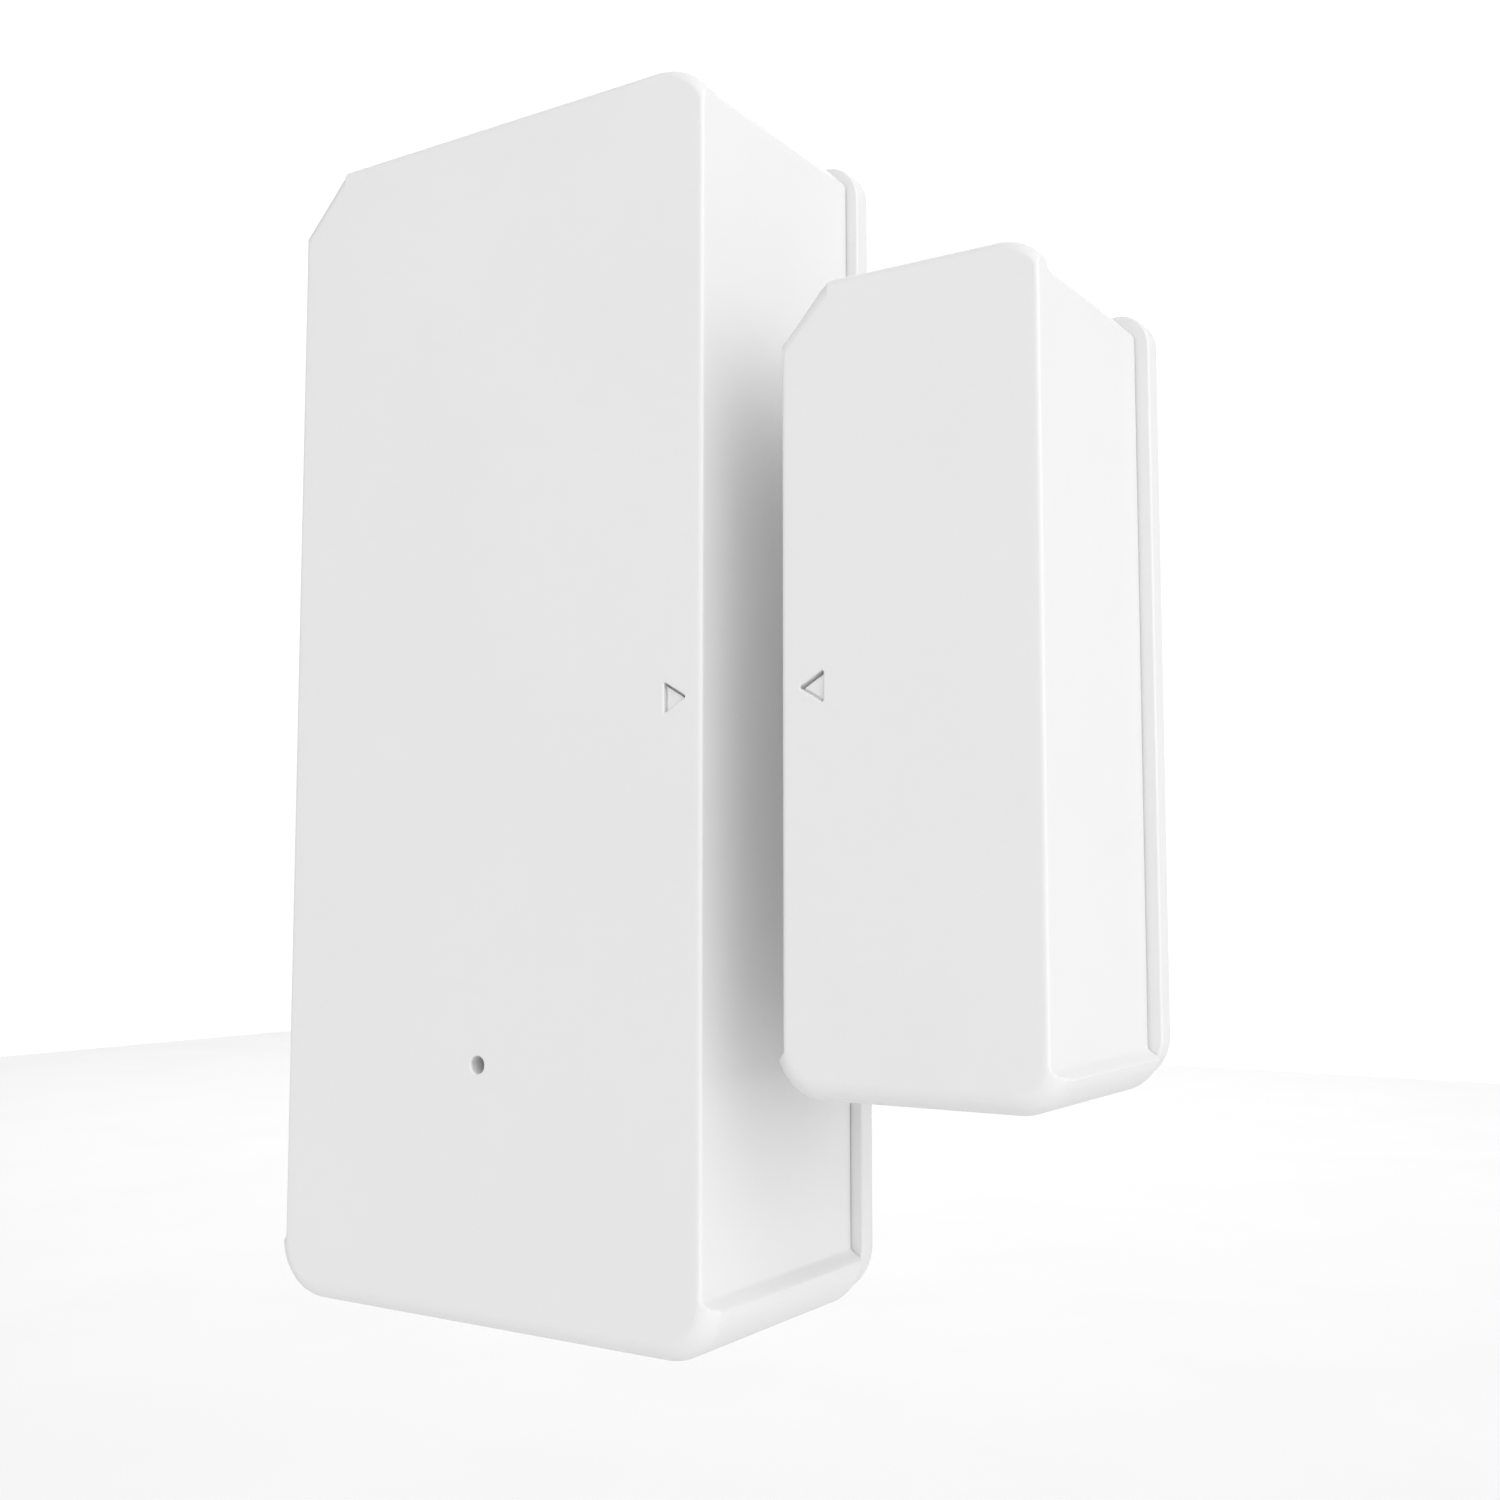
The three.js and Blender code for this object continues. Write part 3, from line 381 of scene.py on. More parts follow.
def rim_share(nx, nz):
    """How much of the front fillet the rim has here: less on the top edge and top right corner."""
    angle = math.degrees(math.atan2(nz, nx))
    top = smooth_step(0, 30, angle) * (1 - smooth_step(95, 125, angle))
    return 1 - (1 - TOP_RIM_SHARE) * top


class Unit:
    """One of the two boxes. Its place and size come from the CAD nodes of its shell, back plate and
    pad; its corners are the design's own. The top right radii are those of the front rim, the shell
    and the back plate. Depths are measured back from the front face."""

    def __init__(self, shell, plate, pad, chamfer, top_radii, bottom_radius, chamfer_radius, lip):
        shell_low, shell_high = box_mm(shell)
        plate_low, plate_high = box_mm(plate)
        _, pad_high = box_mm(pad)
        self.front = shell_low.y
        self.x = (plate_low.x + plate_high.x) / 2
        self.z = (plate_low.z + plate_high.z) / 2
        self.width = plate_high.x - plate_low.x + 2 * PLATE_INSET
        self.height = shell_high.z - shell_low.z
        self.plate_height = plate_high.z - plate_low.z + 2 * PLATE_INSET
        self.panel = self.width / 2 - PANEL_RECESS
        self.shell_depth = shell_high.y - self.front
        self.plate_front = self.shell_depth + PARTING_GAP
        self.plate_depth = plate_high.y - self.front
        self.depth = pad_high.y - self.front
        self.chamfer = chamfer
        self.rim_radius, self.top_radius, self.plate_top_radius = top_radii
        self.bottom_radius = bottom_radius
        self.chamfer_radius = chamfer_radius
        self.lip_base = lip - self.height / 2

    def outline(self, core=None, plate=False, crispness=0.0):
        """Points round the unit with their outward directions; or, given an inset, round the space
        between its side panels moved in by that inset; or round its less tall back plate. Crispness,
        from 0 to 1, tightens the top right corner to its radius at the front rim."""
        inset = core or 0
        lower = (self.height - self.plate_height) / 2 if plate else 0
        right = (self.width / 2 if core is None else self.panel) - inset
        top = self.height / 2 - inset - lower
        chamfer = self.chamfer - (2 - math.sqrt(2)) * inset - lower
        top_radius = self.plate_top_radius if plate else self.top_radius
        top_radius += crispness * (self.rim_radius - top_radius)
        radii = [self.bottom_radius, top_radius, self.chamfer_radius]
        bottom_radius, top_radius, chamfer_radius = [max(radius - inset, LEAST_RADIUS) for radius in radii]
        straight = -top + bottom_radius
        rises = [LIP_RAMP * (step + 1) / SIDE_STEPS for step in range(SIDE_STEPS)]
        right_side = [(right, straight + rise, 0) for rise in rises]
        left_side = [(-x, z, 0) for x, z, _ in reversed(right_side)]
        corners = [
            (-right, -top, bottom_radius),
            (right, -top, bottom_radius),
            *right_side,
            (right, top, top_radius),
            (-right + chamfer, top, chamfer_radius),
            (-right, top - chamfer, chamfer_radius),
            *left_side,
        ]
        return rounded_outline(corners)

    def ring(self, bm, depth, inset=0.0, panel_inset=None, core=None, plate=False, crispness=0.0):
        """One ring of the outline. A panel inset cuts it off that far inside the side panels and,
        at the lip, that far inside the back plate's sides."""
        ring = []
        for x, z, nx, nz in self.outline(core, plate, crispness):
            here = inset if core is not None or plate else inset * rim_share(nx, nz)
            x, z = x - nx * here, z - nz * here
            if panel_inset is not None:
                rise = smooth_step(self.lip_base, self.lip_base + LIP_RAMP, z)
                recess = max(PANEL_RECESS * rise, PLATE_INSET)
                limit = self.width / 2 - recess - panel_inset
                x = min(max(x, -limit), limit)
            ring.append(bm.verts.new((self.x + x, self.front + depth, self.z + z)))
        return ring


TRANSMITTER = Unit(
    "front_shell", "back_plate", "adhesive_pad",
    chamfer=3.8, top_radii=(4.1, 4.6, 2.4), bottom_radius=3.4, chamfer_radius=1.25, lip=2.85,
)
MAGNET_UNIT = Unit(
    "magnet_shell", "magnet_back_plate", "magnet_adhesive_pad",
    chamfer=3.2, top_radii=(3.1, 4.3, 1.9), bottom_radius=2.7, chamfer_radius=1.25, lip=1.65,
)


def quarter_round(radius, steps):
    """(depth, inset) along a quarter round that starts flat and ends square to it."""
    for step in range(steps + 1):
        angle = math.pi / 2 * step / steps
        yield radius * (1 - math.cos(angle)), radius * (1 - math.sin(angle))


def round_inset(depth, radius):
    """How far a quarter round of this radius is still inset at a depth."""
    along = 1 - min(max(depth / radius, 0), 1)
    return radius * (1 - math.sqrt(1 - along * along))


def shell_mesh(unit):
    """A front shell: outside from the front face back, then the rim, then the cavity's walls."""
    bm = bmesh.new()
    depths = [depth for depth, _ in quarter_round(FRONT_FILLET, 10)]
    depths += [PANEL_FILLET_START + depth for depth, _ in quarter_round(PANEL_FILLET, 5)]
    depths += RIM_FADE_DEPTHS
    rings = []
    for depth in sorted(depths):
        panel_inset = round_inset(depth - PANEL_FILLET_START, PANEL_FILLET)
        crispness = 1 - smooth_step(*RIM_FADE, depth)
        inset = round_inset(depth, FRONT_FILLET)
        rings.append(unit.ring(bm, depth, inset, panel_inset, crispness=crispness))
    edge = 0.1
    rings.append(unit.ring(bm, unit.shell_depth - edge, 0, 0))
    rings.append(unit.ring(bm, unit.shell_depth - edge * 0.3, edge * 0.3, edge * 0.3))
    rings.append(unit.ring(bm, unit.shell_depth, edge, edge))
    rings.append(unit.ring(bm, unit.shell_depth, inset=-edge, core=WALL))
    rings.append(unit.ring(bm, unit.shell_depth - edge, core=WALL))
    inner_fillet = 0.35
    for depth, inset in reversed(list(quarter_round(inner_fillet, 4))):
        rings.append(unit.ring(bm, FRONT_WALL + depth, inset=inset, core=WALL))
    bridge(bm, rings)
    return bm


def mark_corners(edge, direction):
    """The mark's tip, then the upper and lower end of its base."""
    tip = edge - direction * MARK["edge"]
    base = tip - direction * MARK["length"]
    half = MARK["base"] / 2
    return (tip, -MARK["drop"]), (base, half - MARK["drop"]), (base, -half - MARK["drop"])


def mark_cutter(unit, edge, direction):
    """A three-cornered pocket with softened edges, pointing along +x or -x."""
    tip, upper, lower = mark_corners(edge, direction)
    round_trip = [tip, upper, lower] if direction > 0 else [tip, lower, upper]
    outline = rounded_outline([(x, z, 0.1) for x, z in round_trip], steps=4)
    bm = bmesh.new()
    rings = []
    for depth, spread in [(-0.3, 0.1), (-0.001, 0.07), (0.02, 0.03), (0.06, 0.0), (MARK["depth"], -0.03)]:
        rings.append([
            bm.verts.new((unit.x + x + nx * spread, unit.front + depth, unit.z + z + nz * spread))
            for x, z, nx, nz in outline
        ])
    bridge(bm, rings)
    return bm


def groove_cutter(unit, start, end, opposite, width, depth):
    """A groove in the mark's floor along one of its sides, on the side of the opposite corner."""
    start, end, opposite = Vector(start), Vector(end), Vector(opposite)
    along = (end - start).normalized()
    share = width / abs(along.cross(opposite - start))
    corners = [start, start.lerp(opposite, share), end.lerp(opposite, share), end]
    bm = bmesh.new()
    rings = []
    for level in (MARK["depth"] / 2, depth):
        rings.append([bm.verts.new((unit.x + x, unit.front + level, unit.z + z)) for x, z in corners])
    bridge(bm, rings)
    return bm


def mark_cutters(unit, edge, direction):
    """The mark's pocket, and the deeper grooves along its upper side and its left side."""
    tip, upper, lower = mark_corners(edge, direction)
    left_end, right_end = (upper, tip) if direction > 0 else (tip, upper)
    return [
        mark_cutter(unit, edge, direction),
        groove_cutter(unit, upper, tip, lower, *MARK["upper_groove"]),
        groove_cutter(unit, left_end, lower, right_end, *MARK["left_groove"]),
    ]


def arm_meshes(unit, width):
    """The two snap arms of a back plate, each with a wedge-shaped bump near its tip."""
    meshes = []
    outer = unit.height / 2 - WALL - ARM["clearance"]
    tip = unit.plate_front - ARM["length"]
    for side in (1, -1):
        bm = bmesh.new()
        faces = sorted([side * outer, side * (outer - ARM["thickness"])])
        low = (unit.x - width / 2, unit.front + tip, unit.z + faces[0])
        high = (unit.x + width / 2, unit.front + unit.plate_front + 0.3, unit.z + faces[1])
        rounded_block(bm, low, high, 0.15)
        meshes.append(bm)
        bm = bmesh.new()
        profile = [(0.5, -0.1), (0.7, ARM["bump"] * 0.9), (0.85, ARM["bump"]), (1.3, -0.1)]
        ends = []
        for x in (-width / 3, width / 3):
            ends.append([
                bm.verts.new((unit.x + x, unit.front + tip + along, unit.z + side * (outer + out)))
                for along, out in profile
            ])
        bridge(bm, ends)
        meshes.append(bm)
    return meshes


def notch_cutter(unit):
    """The slot under the bottom edge, where a coin prises the shell off its plate."""
    bm = bmesh.new()
    width, height, depth = 10, 0.8, 0.7
    bottom = unit.z - unit.height / 2
    back = unit.front + unit.shell_depth
    low = (unit.x - width / 2, back - depth, bottom - 1)
    high = (unit.x + width / 2, back + 1, bottom + height)
    rounded_block(bm, low, high, 0.25)
    return bm


def hole_cutter(node):
    """The LED's pinhole, with a softened mouth."""
    pipe = middle(node)
    profile = [(0, -0.3), (0.62, -0.3), (0.58, 0.0), (0.53, 0.03), (0.5, 0.1), (0.5, 2.2), (0, 2.2)]
    return turned_bm(profile, (pipe.x, TRANSMITTER.front, pipe.z))


def plate_mesh(unit):
    """A back plate's body with rounded edges, and the pocket for its pad."""
    bm = bmesh.new()
    pocket = PAD_INSET - PAD_POCKET_GAP
    floor = unit.plate_depth - PAD_POCKET_DEPTH
    rounding = list(quarter_round(PLATE_EDGE, 3))
    sections = [(unit.plate_front + depth, inset) for depth, inset in rounding]
    sections += [(unit.plate_depth - depth, inset) for depth, inset in reversed(rounding)]
    rings = [unit.ring(bm, depth, PLATE_INSET + inset, plate=True) for depth, inset in sections]
    rings.append(unit.ring(bm, unit.plate_depth, inset=-0.1, core=pocket))
    rings.append(unit.ring(bm, unit.plate_depth - 0.1, core=pocket))
    rings.append(unit.ring(bm, floor, core=pocket))
    bridge(bm, rings)
    return bm


def rib_mesh(unit):
    """The closed rib that locates a back plate in its shell's cavity."""
    bm = bmesh.new()
    outer = WALL + RIB_CLEARANCE
    inner = outer + RIB_THICKNESS
    root = unit.plate_front + 0.3
    tip = unit.plate_front - RIB_HEIGHT
    edge = 0.2
    rings = [
        unit.ring(bm, root, core=outer),
        unit.ring(bm, tip + edge, core=outer),
        unit.ring(bm, tip, inset=edge, core=outer),
        unit.ring(bm, tip, inset=-edge, core=inner),
        unit.ring(bm, tip + edge, core=inner),
        unit.ring(bm, root, core=inner),
    ]
    bridge(bm, rings + [rings[0]], closed_ends=False)
    return bm


def pad_mesh(unit):
    """A foam pad whose cut edge bulges a little between its two faces."""
    bm = bmesh.new()
    back = unit.depth
    front = unit.plate_depth - PAD_POCKET_DEPTH
    steps = 6
    rings = []
    for step in range(steps + 1):
        share = step / steps
        bulge = 0.08 * math.sin(math.pi * share)
        rings.append(unit.ring(bm, front + (back - front) * share, inset=0.08 - bulge, core=PAD_INSET))
    bridge(bm, rings)
    return bm


# ---------------------------------------------------------------- finishes

WHITE = (0.74, 0.74, 0.74)
moulded_plastic("white_shell", WHITE, 0.5)
moulded_plastic("white_plate", shade(WHITE, 0.98), 0.52)
foam_tape = Shader("foam_tape", (0.62, 0.66, 0.7), 0.85)
tape_cells = foam_tape.noise(0.35, detail=5)
foam_tape.color_from(foam_tape.ramp(tape_cells, [(0.3, (0.52, 0.56, 0.6)), (0.7, (0.68, 0.72, 0.75))]))
foam_tape.bump(tape_cells, 0.04, strength=0.8)

# ---------------------------------------------------------------- boxes, plates and pads

shell = finish_piece("transmitter_shell", shell_mesh(TRANSMITTER), "white_shell", "front_shell")
carve(shell, mark_cutters(TRANSMITTER, TRANSMITTER.panel, 1))
carve(shell, [hole_cutter("light_pipe"), notch_cutter(TRANSMITTER)])
magnet_bm = shell_mesh(MAGNET_UNIT)
magnet_case = finish_piece("magnet_case", magnet_bm, "white_shell", "magnet_shell", "magnet_unit")
carve(magnet_case, mark_cutters(MAGNET_UNIT, -MAGNET_UNIT.panel, -1))
carve(magnet_case, [notch_cutter(MAGNET_UNIT)])

for unit, prefix, body, plate_node, pad_node, arm_width in [
    (TRANSMITTER, "transmitter", "back_plate", "back_plate", "adhesive_pad", 6),
    (MAGNET_UNIT, "magnet", "magnet_unit", "magnet_back_plate", "magnet_adhesive_pad", 4),
]:
    plate = finish_piece(f"{prefix}_plate", plate_mesh(unit), "white_plate", plate_node, body)
    carve(plate, [rib_mesh(unit), *arm_meshes(unit, arm_width)], "UNION")
    finish_piece(f"{prefix}_foam_pad", pad_mesh(unit), "foam_tape", pad_node, body)

# ---------------------------------------------------------------- mesh helpers for small pieces

def corners_of(low, high, radius):
    """The four corners of a rectangle in x and z, for rounded_outline."""
    left, bottom, right, top = low[0], low[2], high[0], high[2]
    return [(x, z, radius) for x, z in ((left, bottom), (right, bottom), (right, top), (left, top))]


def slab_bm(corners, front, back, edge):
    """A flat piece between two depths, from a rounded outline, with softened edges."""
    bm = bmesh.new()
    outline = rounded_outline(corners, steps=5)
    sections = [(front, edge), (front + edge * 0.3, edge * 0.3), (front + edge, 0)]
    sections += [(back - edge, 0), (back - edge * 0.3, edge * 0.3), (back, edge)]
    rings = []
    for depth, inset in sections:
        rings.append([bm.verts.new((x - nx * inset, depth, z - nz * inset)) for x, z, nx, nz in outline])
    bridge(bm, rings)
    return bm


def wire_bm(points, radius, sides=14):
    """A round wire along a list of points."""
    bm = bmesh.new()
    rings = []
    up = Vector((0, 0, 1))
    for index, point in enumerate(points):
        before = points[max(index - 1, 0)]
        after = points[min(index + 1, len(points) - 1)]
        along = (after - before).normalized()
        across = along.cross(up if abs(along.z) < 0.9 else Vector((1, 0, 0))).normalized()
        over = along.cross(across)
        rings.append([
            bm.verts.new(point + (across * math.cos(angle) + over * math.sin(angle)) * radius)
            for angle in (2 * math.pi * side / sides for side in range(sides))
        ])
    bridge(bm, rings)
    return bm


def block_bm(low, high, radius=0.1, segments=2):
    bm = bmesh.new()
    rounded_block(bm, low, high, radius, segments)
    return bm


def add_bar(bm, x, z, half_x, half_z, front, back, radius=0.05, segments=2):
    """Adds a rounded block centred on a place in x and z, between two depths."""
    rounded_block(bm, (x - half_x, front, z - half_z), (x + half_x, back, z + half_z), radius, segments)


def cross_bms(x, z, arms, front, back, radius=0.05, segments=2):
    """Bars centred on one place; each arm is given by its half widths."""
    bars = []
    for half_x, half_z in arms:
        bars.append(bmesh.new())
        add_bar(bars[-1], x, z, half_x, half_z, front, back, radius, segments)
    return bars


def pin_bm(radius, x, z, front, back, sides=28):
    return turned_bm(cylinder(radius, front, back), (x, 0, z), sides=sides)


def strip_bm(path, x0, x1, thickness):
    """A bent strip: the path is its centre line in (y, z), and it is as wide as x0 to x1."""
    bm = bmesh.new()
    rings = []
    bevel = thickness * 0.25
    for index, (y, z) in enumerate(path):
        before, after = path[max(index - 1, 0)], path[min(index + 1, len(path) - 1)]
        along = Vector((after[0] - before[0], after[1] - before[1])).normalized()
        side = Vector((-along.y, along.x)) * thickness / 2
        inner = side * (1 - bevel / thickness * 2)
        outline = [
            (x0 + bevel, side), (x1 - bevel, side), (x1, inner), (x1, -inner),
            (x1 - bevel, -side), (x0 + bevel, -side), (x0, -inner), (x0, inner),
        ]
        rings.append([bm.verts.new((x, y + offset.x, z + offset.y)) for x, offset in outline])
    bridge(bm, rings)
    return bm


# ---------------------------------------------------------------- finishes inside the boxes

GREEN = (0.012, 0.12, 0.045)
GOLD = (0.83, 0.6, 0.24)
STEEL = (0.62, 0.62, 0.61)


def brushed_metal(name, color, roughness, stretch=(1, 1, 12), wear=0.12):
    """Bright metal with fine drawn lines and softly worn patches."""
    shader = Shader(name, color, roughness, Metallic=1.0)
    lines = shader.noise(0.12, detail=2, stretch=stretch)
    patches = shader.noise(1.6, detail=4)
    shader.color_from(shader.ramp(patches, [(0.35, shade(color, 1 - wear)), (0.65, color)]))
    shader.roughness_from(shader.range(patches, roughness + 0.12, roughness))
    shader.bump(lines, 0.004, strength=0.5)


def solder_mask(name, color):
    """Green solder mask over right-angled copper tracks."""
    shader = Shader(name, color, 0.32)
    upright = {"Rotation": (math.pi / 2, 0, 0)}
    turned = shader.add("ShaderNodeMapping", upright, {"Vector": shader.coordinates})
    track_spacing = 2.4 * MM
    layout = {"Scale": 1 / track_spacing, "Mortar Size": 0.05, "Mortar Smooth": 0.2, "Row Height": 0.55}
    tracks = shader.add("ShaderNodeTexBrick", layout, {"Vector": turned.outputs["Vector"]})
    patches = shader.range(shader.noise(5, detail=1), -0.6, 1.6)
    factors = {0: tracks.outputs["Fac"], 1: patches}
    broken = shader.add("ShaderNodeMath", sources=factors, operation="MULTIPLY").outputs["Value"]
    shader.color_from(shader.ramp(broken, [(0.1, color), (0.6, shade(color, 1.9))]))
    shader.roughness_from(shader.range(shader.noise(2.5, detail=3), 0.25, 0.4))
    shader.bump(broken, 0.03, strength=0.5)


def clear_resin(name, color, roughness, cloud):
    shader = Shader(name, color, roughness, Transmission_Weight=0.85, IOR=1.5)
    swirl = shader.noise(0.9, detail=3)
    shader.color_from(shader.ramp(swirl, [(0.3, shade(color, 1 - cloud)), (0.7, color)]))
    shader.roughness_from(shader.range(swirl, roughness, roughness + 0.08))


def cell_film(name, low_z, high_z, cap_up):
    """Printed shrink film: dark blue, with a plain pale grey band at the positive end."""
    blue, white, grey = (0.012, 0.05, 0.13), (0.6, 0.61, 0.62), (0.3, 0.32, 0.34)
    shader = Shader(name, blue, 0.3)
    split = shader.add("ShaderNodeSeparateXYZ", sources={"Vector": shader.coordinates})
    foot, cap = (low_z, high_z) if cap_up else (high_z, low_z)
    values = {"From Min": foot * MM, "From Max": cap * MM}
    along = shader.add("ShaderNodeMapRange", values, {"Value": split.outputs["Z"]})
    stops = [(0.0, blue), (0.68, blue), (0.681, white), (0.7, white), (0.701, grey), (1.0, grey)]
    shader.color_from(shader.ramp(along.outputs["Result"], stops))
    shader.roughness_from(shader.range(shader.noise(3, detail=4), 0.22, 0.36))
    shader.bump(shader.noise(2.2, detail=3, stretch=(1, 1, 3)), 0.02, strength=0.5)


def foam_material(name, color):
    shader = Shader(name, color, 0.95)
    cells = shader.noise(0.3, detail=6)
    shader.color_from(shader.ramp(cells, [(0.35, shade(color, 0.4)), (0.65, shade(color, 1.5))]))
    shader.bump(cells, 0.08, strength=1.0)


moulded_plastic("tray_plastic", (0.62, 0.62, 0.6), 0.58, grain=0.22, grain_depth=0.01)
moulded_plastic("button_plastic", (0.68, 0.68, 0.67), 0.3, grain_depth=0.003)
moulded_plastic("dark_plastic", (0.025, 0.025, 0.028), 0.42, grain=0.12, grain_depth=0.01)
moulded_plastic("ceramic", (0.36, 0.27, 0.18), 0.45, grain=0.1, grain_depth=0.006)
brushed_metal("nickel", (0.68, 0.66, 0.61), 0.26)
brushed_metal("spring_steel", STEEL, 0.24, stretch=(1, 1, 1))
brushed_metal("screw_steel", (0.55, 0.56, 0.57), 0.3, stretch=(1, 1, 1), wear=0.25)
brushed_metal("cell_steel", (0.7, 0.7, 0.69), 0.22, stretch=(1, 1, 1))
brushed_metal("aluminium_can", (0.76, 0.76, 0.77), 0.34, stretch=(1, 8, 1))
brushed_metal("magnet_plating", (0.6, 0.6, 0.59), 0.18, wear=0.08)
brushed_metal("gold_pads", GOLD, 0.28, stretch=(1, 1, 1))
solder_mask("circuit_board", GREEN)
solder_mask("module_board", shade(GREEN, 0.6))
clear_resin("led_resin", (0.93, 0.9, 0.7), 0.18, 0.12)
clear_resin("clear_plastic", (0.93, 0.95, 0.95), 0.08, 0.04)
clear_resin("reed_glass", (0.66, 0.85, 0.7), 0.03, 0.1)
foam_material("foam_pad", (0.045, 0.045, 0.05))

# ---------------------------------------------------------------- circuit board and its parts

BOARD_LOW, BOARD_HIGH = box_mm("circuit_board")
BOARD_REAR = BOARD_HIGH.y
SCREW_NODES = ["board_screw_left", "board_screw_right", "tray_screw_upper", "tray_screw_lower"]
SCREW_PLACES = [middle(node) for node in SCREW_NODES]


def board_mesh():
    corner, chamfer = 1.2, 4.2
    corners = corners_of(BOARD_LOW, BOARD_HIGH, corner)[:3]
    corners += [(BOARD_LOW.x + chamfer, BOARD_HIGH.z, 0.5), (BOARD_LOW.x, BOARD_HIGH.z - chamfer, 0.5)]
    return slab_bm(corners, BOARD_LOW.y, BOARD_HIGH.y, 0.06)


def ring_pad(bm, x, z, inner, outer):
    """A plated ring that stands just off both faces of the board, and lines its hole."""
    lift = 0.03
    front, back = BOARD_LOW.y - lift, BOARD_REAR + lift
    profile = [(inner, front), (outer, front), (outer, front + 0.05), (inner + 0.03, front + 0.05)]
    profile += [(inner + 0.03, back - 0.05), (outer, back - 0.05), (outer, back), (inner, back)]
    profile.append(profile[0])
    lathe(bm, profile, (x, 0, z), sides=28)


board = finish_piece("board", board_mesh(), "circuit_board", "circuit_board")
carve(board, [pin_bm(0.87, place.x, place.z, BOARD_LOW.y - 1, BOARD_REAR + 1) for place in SCREW_PLACES])

pads = bmesh.new()
for place in SCREW_PLACES:
    ring_pad(pads, place.x, place.z, 0.83, 1.35)
for x, z in [(-11.6, 28), (-11.6, -13), (12.2, 24), (12.2, -27), (-8.5, -31.3), (3.4, -31.3), (0, 32)]:
    ring_pad(pads, x, z, 0.25, 0.5)
edge_pitch, edge_pad_width = 1.27, 0.8
for step in range(5):
    low = (-3 + step * edge_pitch, BOARD_REAR - 0.03, 31.55)
    rounded_block(pads, low, (low[0] + edge_pad_width, BOARD_REAR + 0.03, 32.3), 0.02, 1)
finish_piece("board_pads", pads, "gold_pads")

# Small parts soldered to the board's rear face: (x, z, half width, half length, height).
CERAMIC_PARTS = [
    (12.0, 23.0, 0.5, 0.25, 0.5), (12.0, 15.6, 0.5, 0.25, 0.5), (12.0, 14.4, 0.5, 0.25, 0.5),
    (12.0, -17.3, 0.5, 0.25, 0.5), (12.1, -11.2, 0.25, 0.5, 0.45), (3.6, -30.4, 0.5, 0.25, 0.5),
    (4.7, -18.95, 0.5, 0.25, 0.3),
]
DARK_PARTS = [(-11.9, -16.2, 0.6, 1.2, 0.9), (-11.7, -22.0, 0.9, 0.9, 0.7), (12.4, 11.4, 0.35, 0.6, 0.6)]
ceramic_bm, end_bm, dark_bm = bmesh.new(), bmesh.new(), bmesh.new()
for x, z, half_x, half_z, height in CERAMIC_PARTS:
    add_bar(ceramic_bm, x, z, half_x, half_z, BOARD_REAR, BOARD_REAR + height)
    for side in (-1, 1):
        along_x = half_x > half_z
        centre_x, centre_z = x + side * half_x * along_x, z + side * half_z * (not along_x)
        reach_x, reach_z = (0.16, half_z + 0.02) if along_x else (half_x + 0.02, 0.16)
        top = BOARD_REAR + height + 0.02
        add_bar(end_bm, centre_x, centre_z, reach_x, reach_z, BOARD_REAR - 0.01, top)
for x, z, half_x, half_z, height in DARK_PARTS:
    add_bar(dark_bm, x, z, half_x, half_z, BOARD_REAR + 0.08, BOARD_REAR + height, 0.08)
    for side in (-1, 1):
        for leg in (-0.5, 0.5):
            leg_x, leg_z = x + side * half_x, z + leg * half_z
            add_bar(end_bm, leg_x, leg_z, 0.14, 0.1, BOARD_REAR - 0.01, BOARD_REAR + 0.2, 0.03, 1)
finish_piece("board_ceramics", ceramic_bm, "ceramic")
finish_piece("board_chips", dark_bm, "dark_plastic")
finish_piece("board_solder", end_bm, "spring_steel")


def regulator_pieces():
    low, high, place = span("regulator")
    body = block_bm((place.x - 0.8, BOARD_REAR + 0.1, low.z), (place.x + 0.8, high.y, high.z), 0.12)
    piece = finish_piece("regulator_body", body, "dark_plastic", "regulator")
    carve(piece, [pin_bm(0.18, place.x - 0.45, high.z - 0.5, high.y - 0.06, high.y + 1, 16)])
    legs = bmesh.new()
    for side, offset in [(-1, -0.95), (-1, 0.95), (1, 0)]:
        section = [(0, -0.06, -0.18), (0, -0.06, 0.18), (side * 0.03, 0.06, 0.18), (side * 0.03, 0.06, -0.18)]
        ends = []
        for rise, out in [(0.55, 0.0), (0.5, 0.2), (0.15, 0.3), (0.08, 0.4)]:
            x = place.x + side * (0.78 + out)
            y = BOARD_REAR + rise
            ends.append([legs.verts.new((x + dx, y + dy, place.z + offset + dz)) for dx, dy, dz in section])
        bridge(legs, ends)
    finish_piece("regulator_legs", legs, "nickel")


def led_pieces():
    low, high, place = span("status_led")
    body = block_bm((low.x + 0.25, low.y + 0.25, low.z), (high.x - 0.25, high.y, high.z), 0.05)
    finish_piece("led_body", body, "button_plastic")
    lens_half = 0.42
    lens_low = (place.x - lens_half, low.y, low.z + 0.04)
    lens = block_bm(lens_low, (place.x + lens_half, low.y + 0.3, high.z - 0.04), 0.1, 3)
    finish_piece("led_lens", lens, "led_resin", "status_led")
    ends = bmesh.new()
    for side in (-1, 1):
        x = sorted([place.x + side * 0.55, place.x + side * 0.8])
        rounded_block(ends, (x[0], low.y + 0.3, low.z + 0.02), (x[1], high.y, high.z - 0.02), 0.04)
    finish_piece("led_ends", ends, "gold_pads")


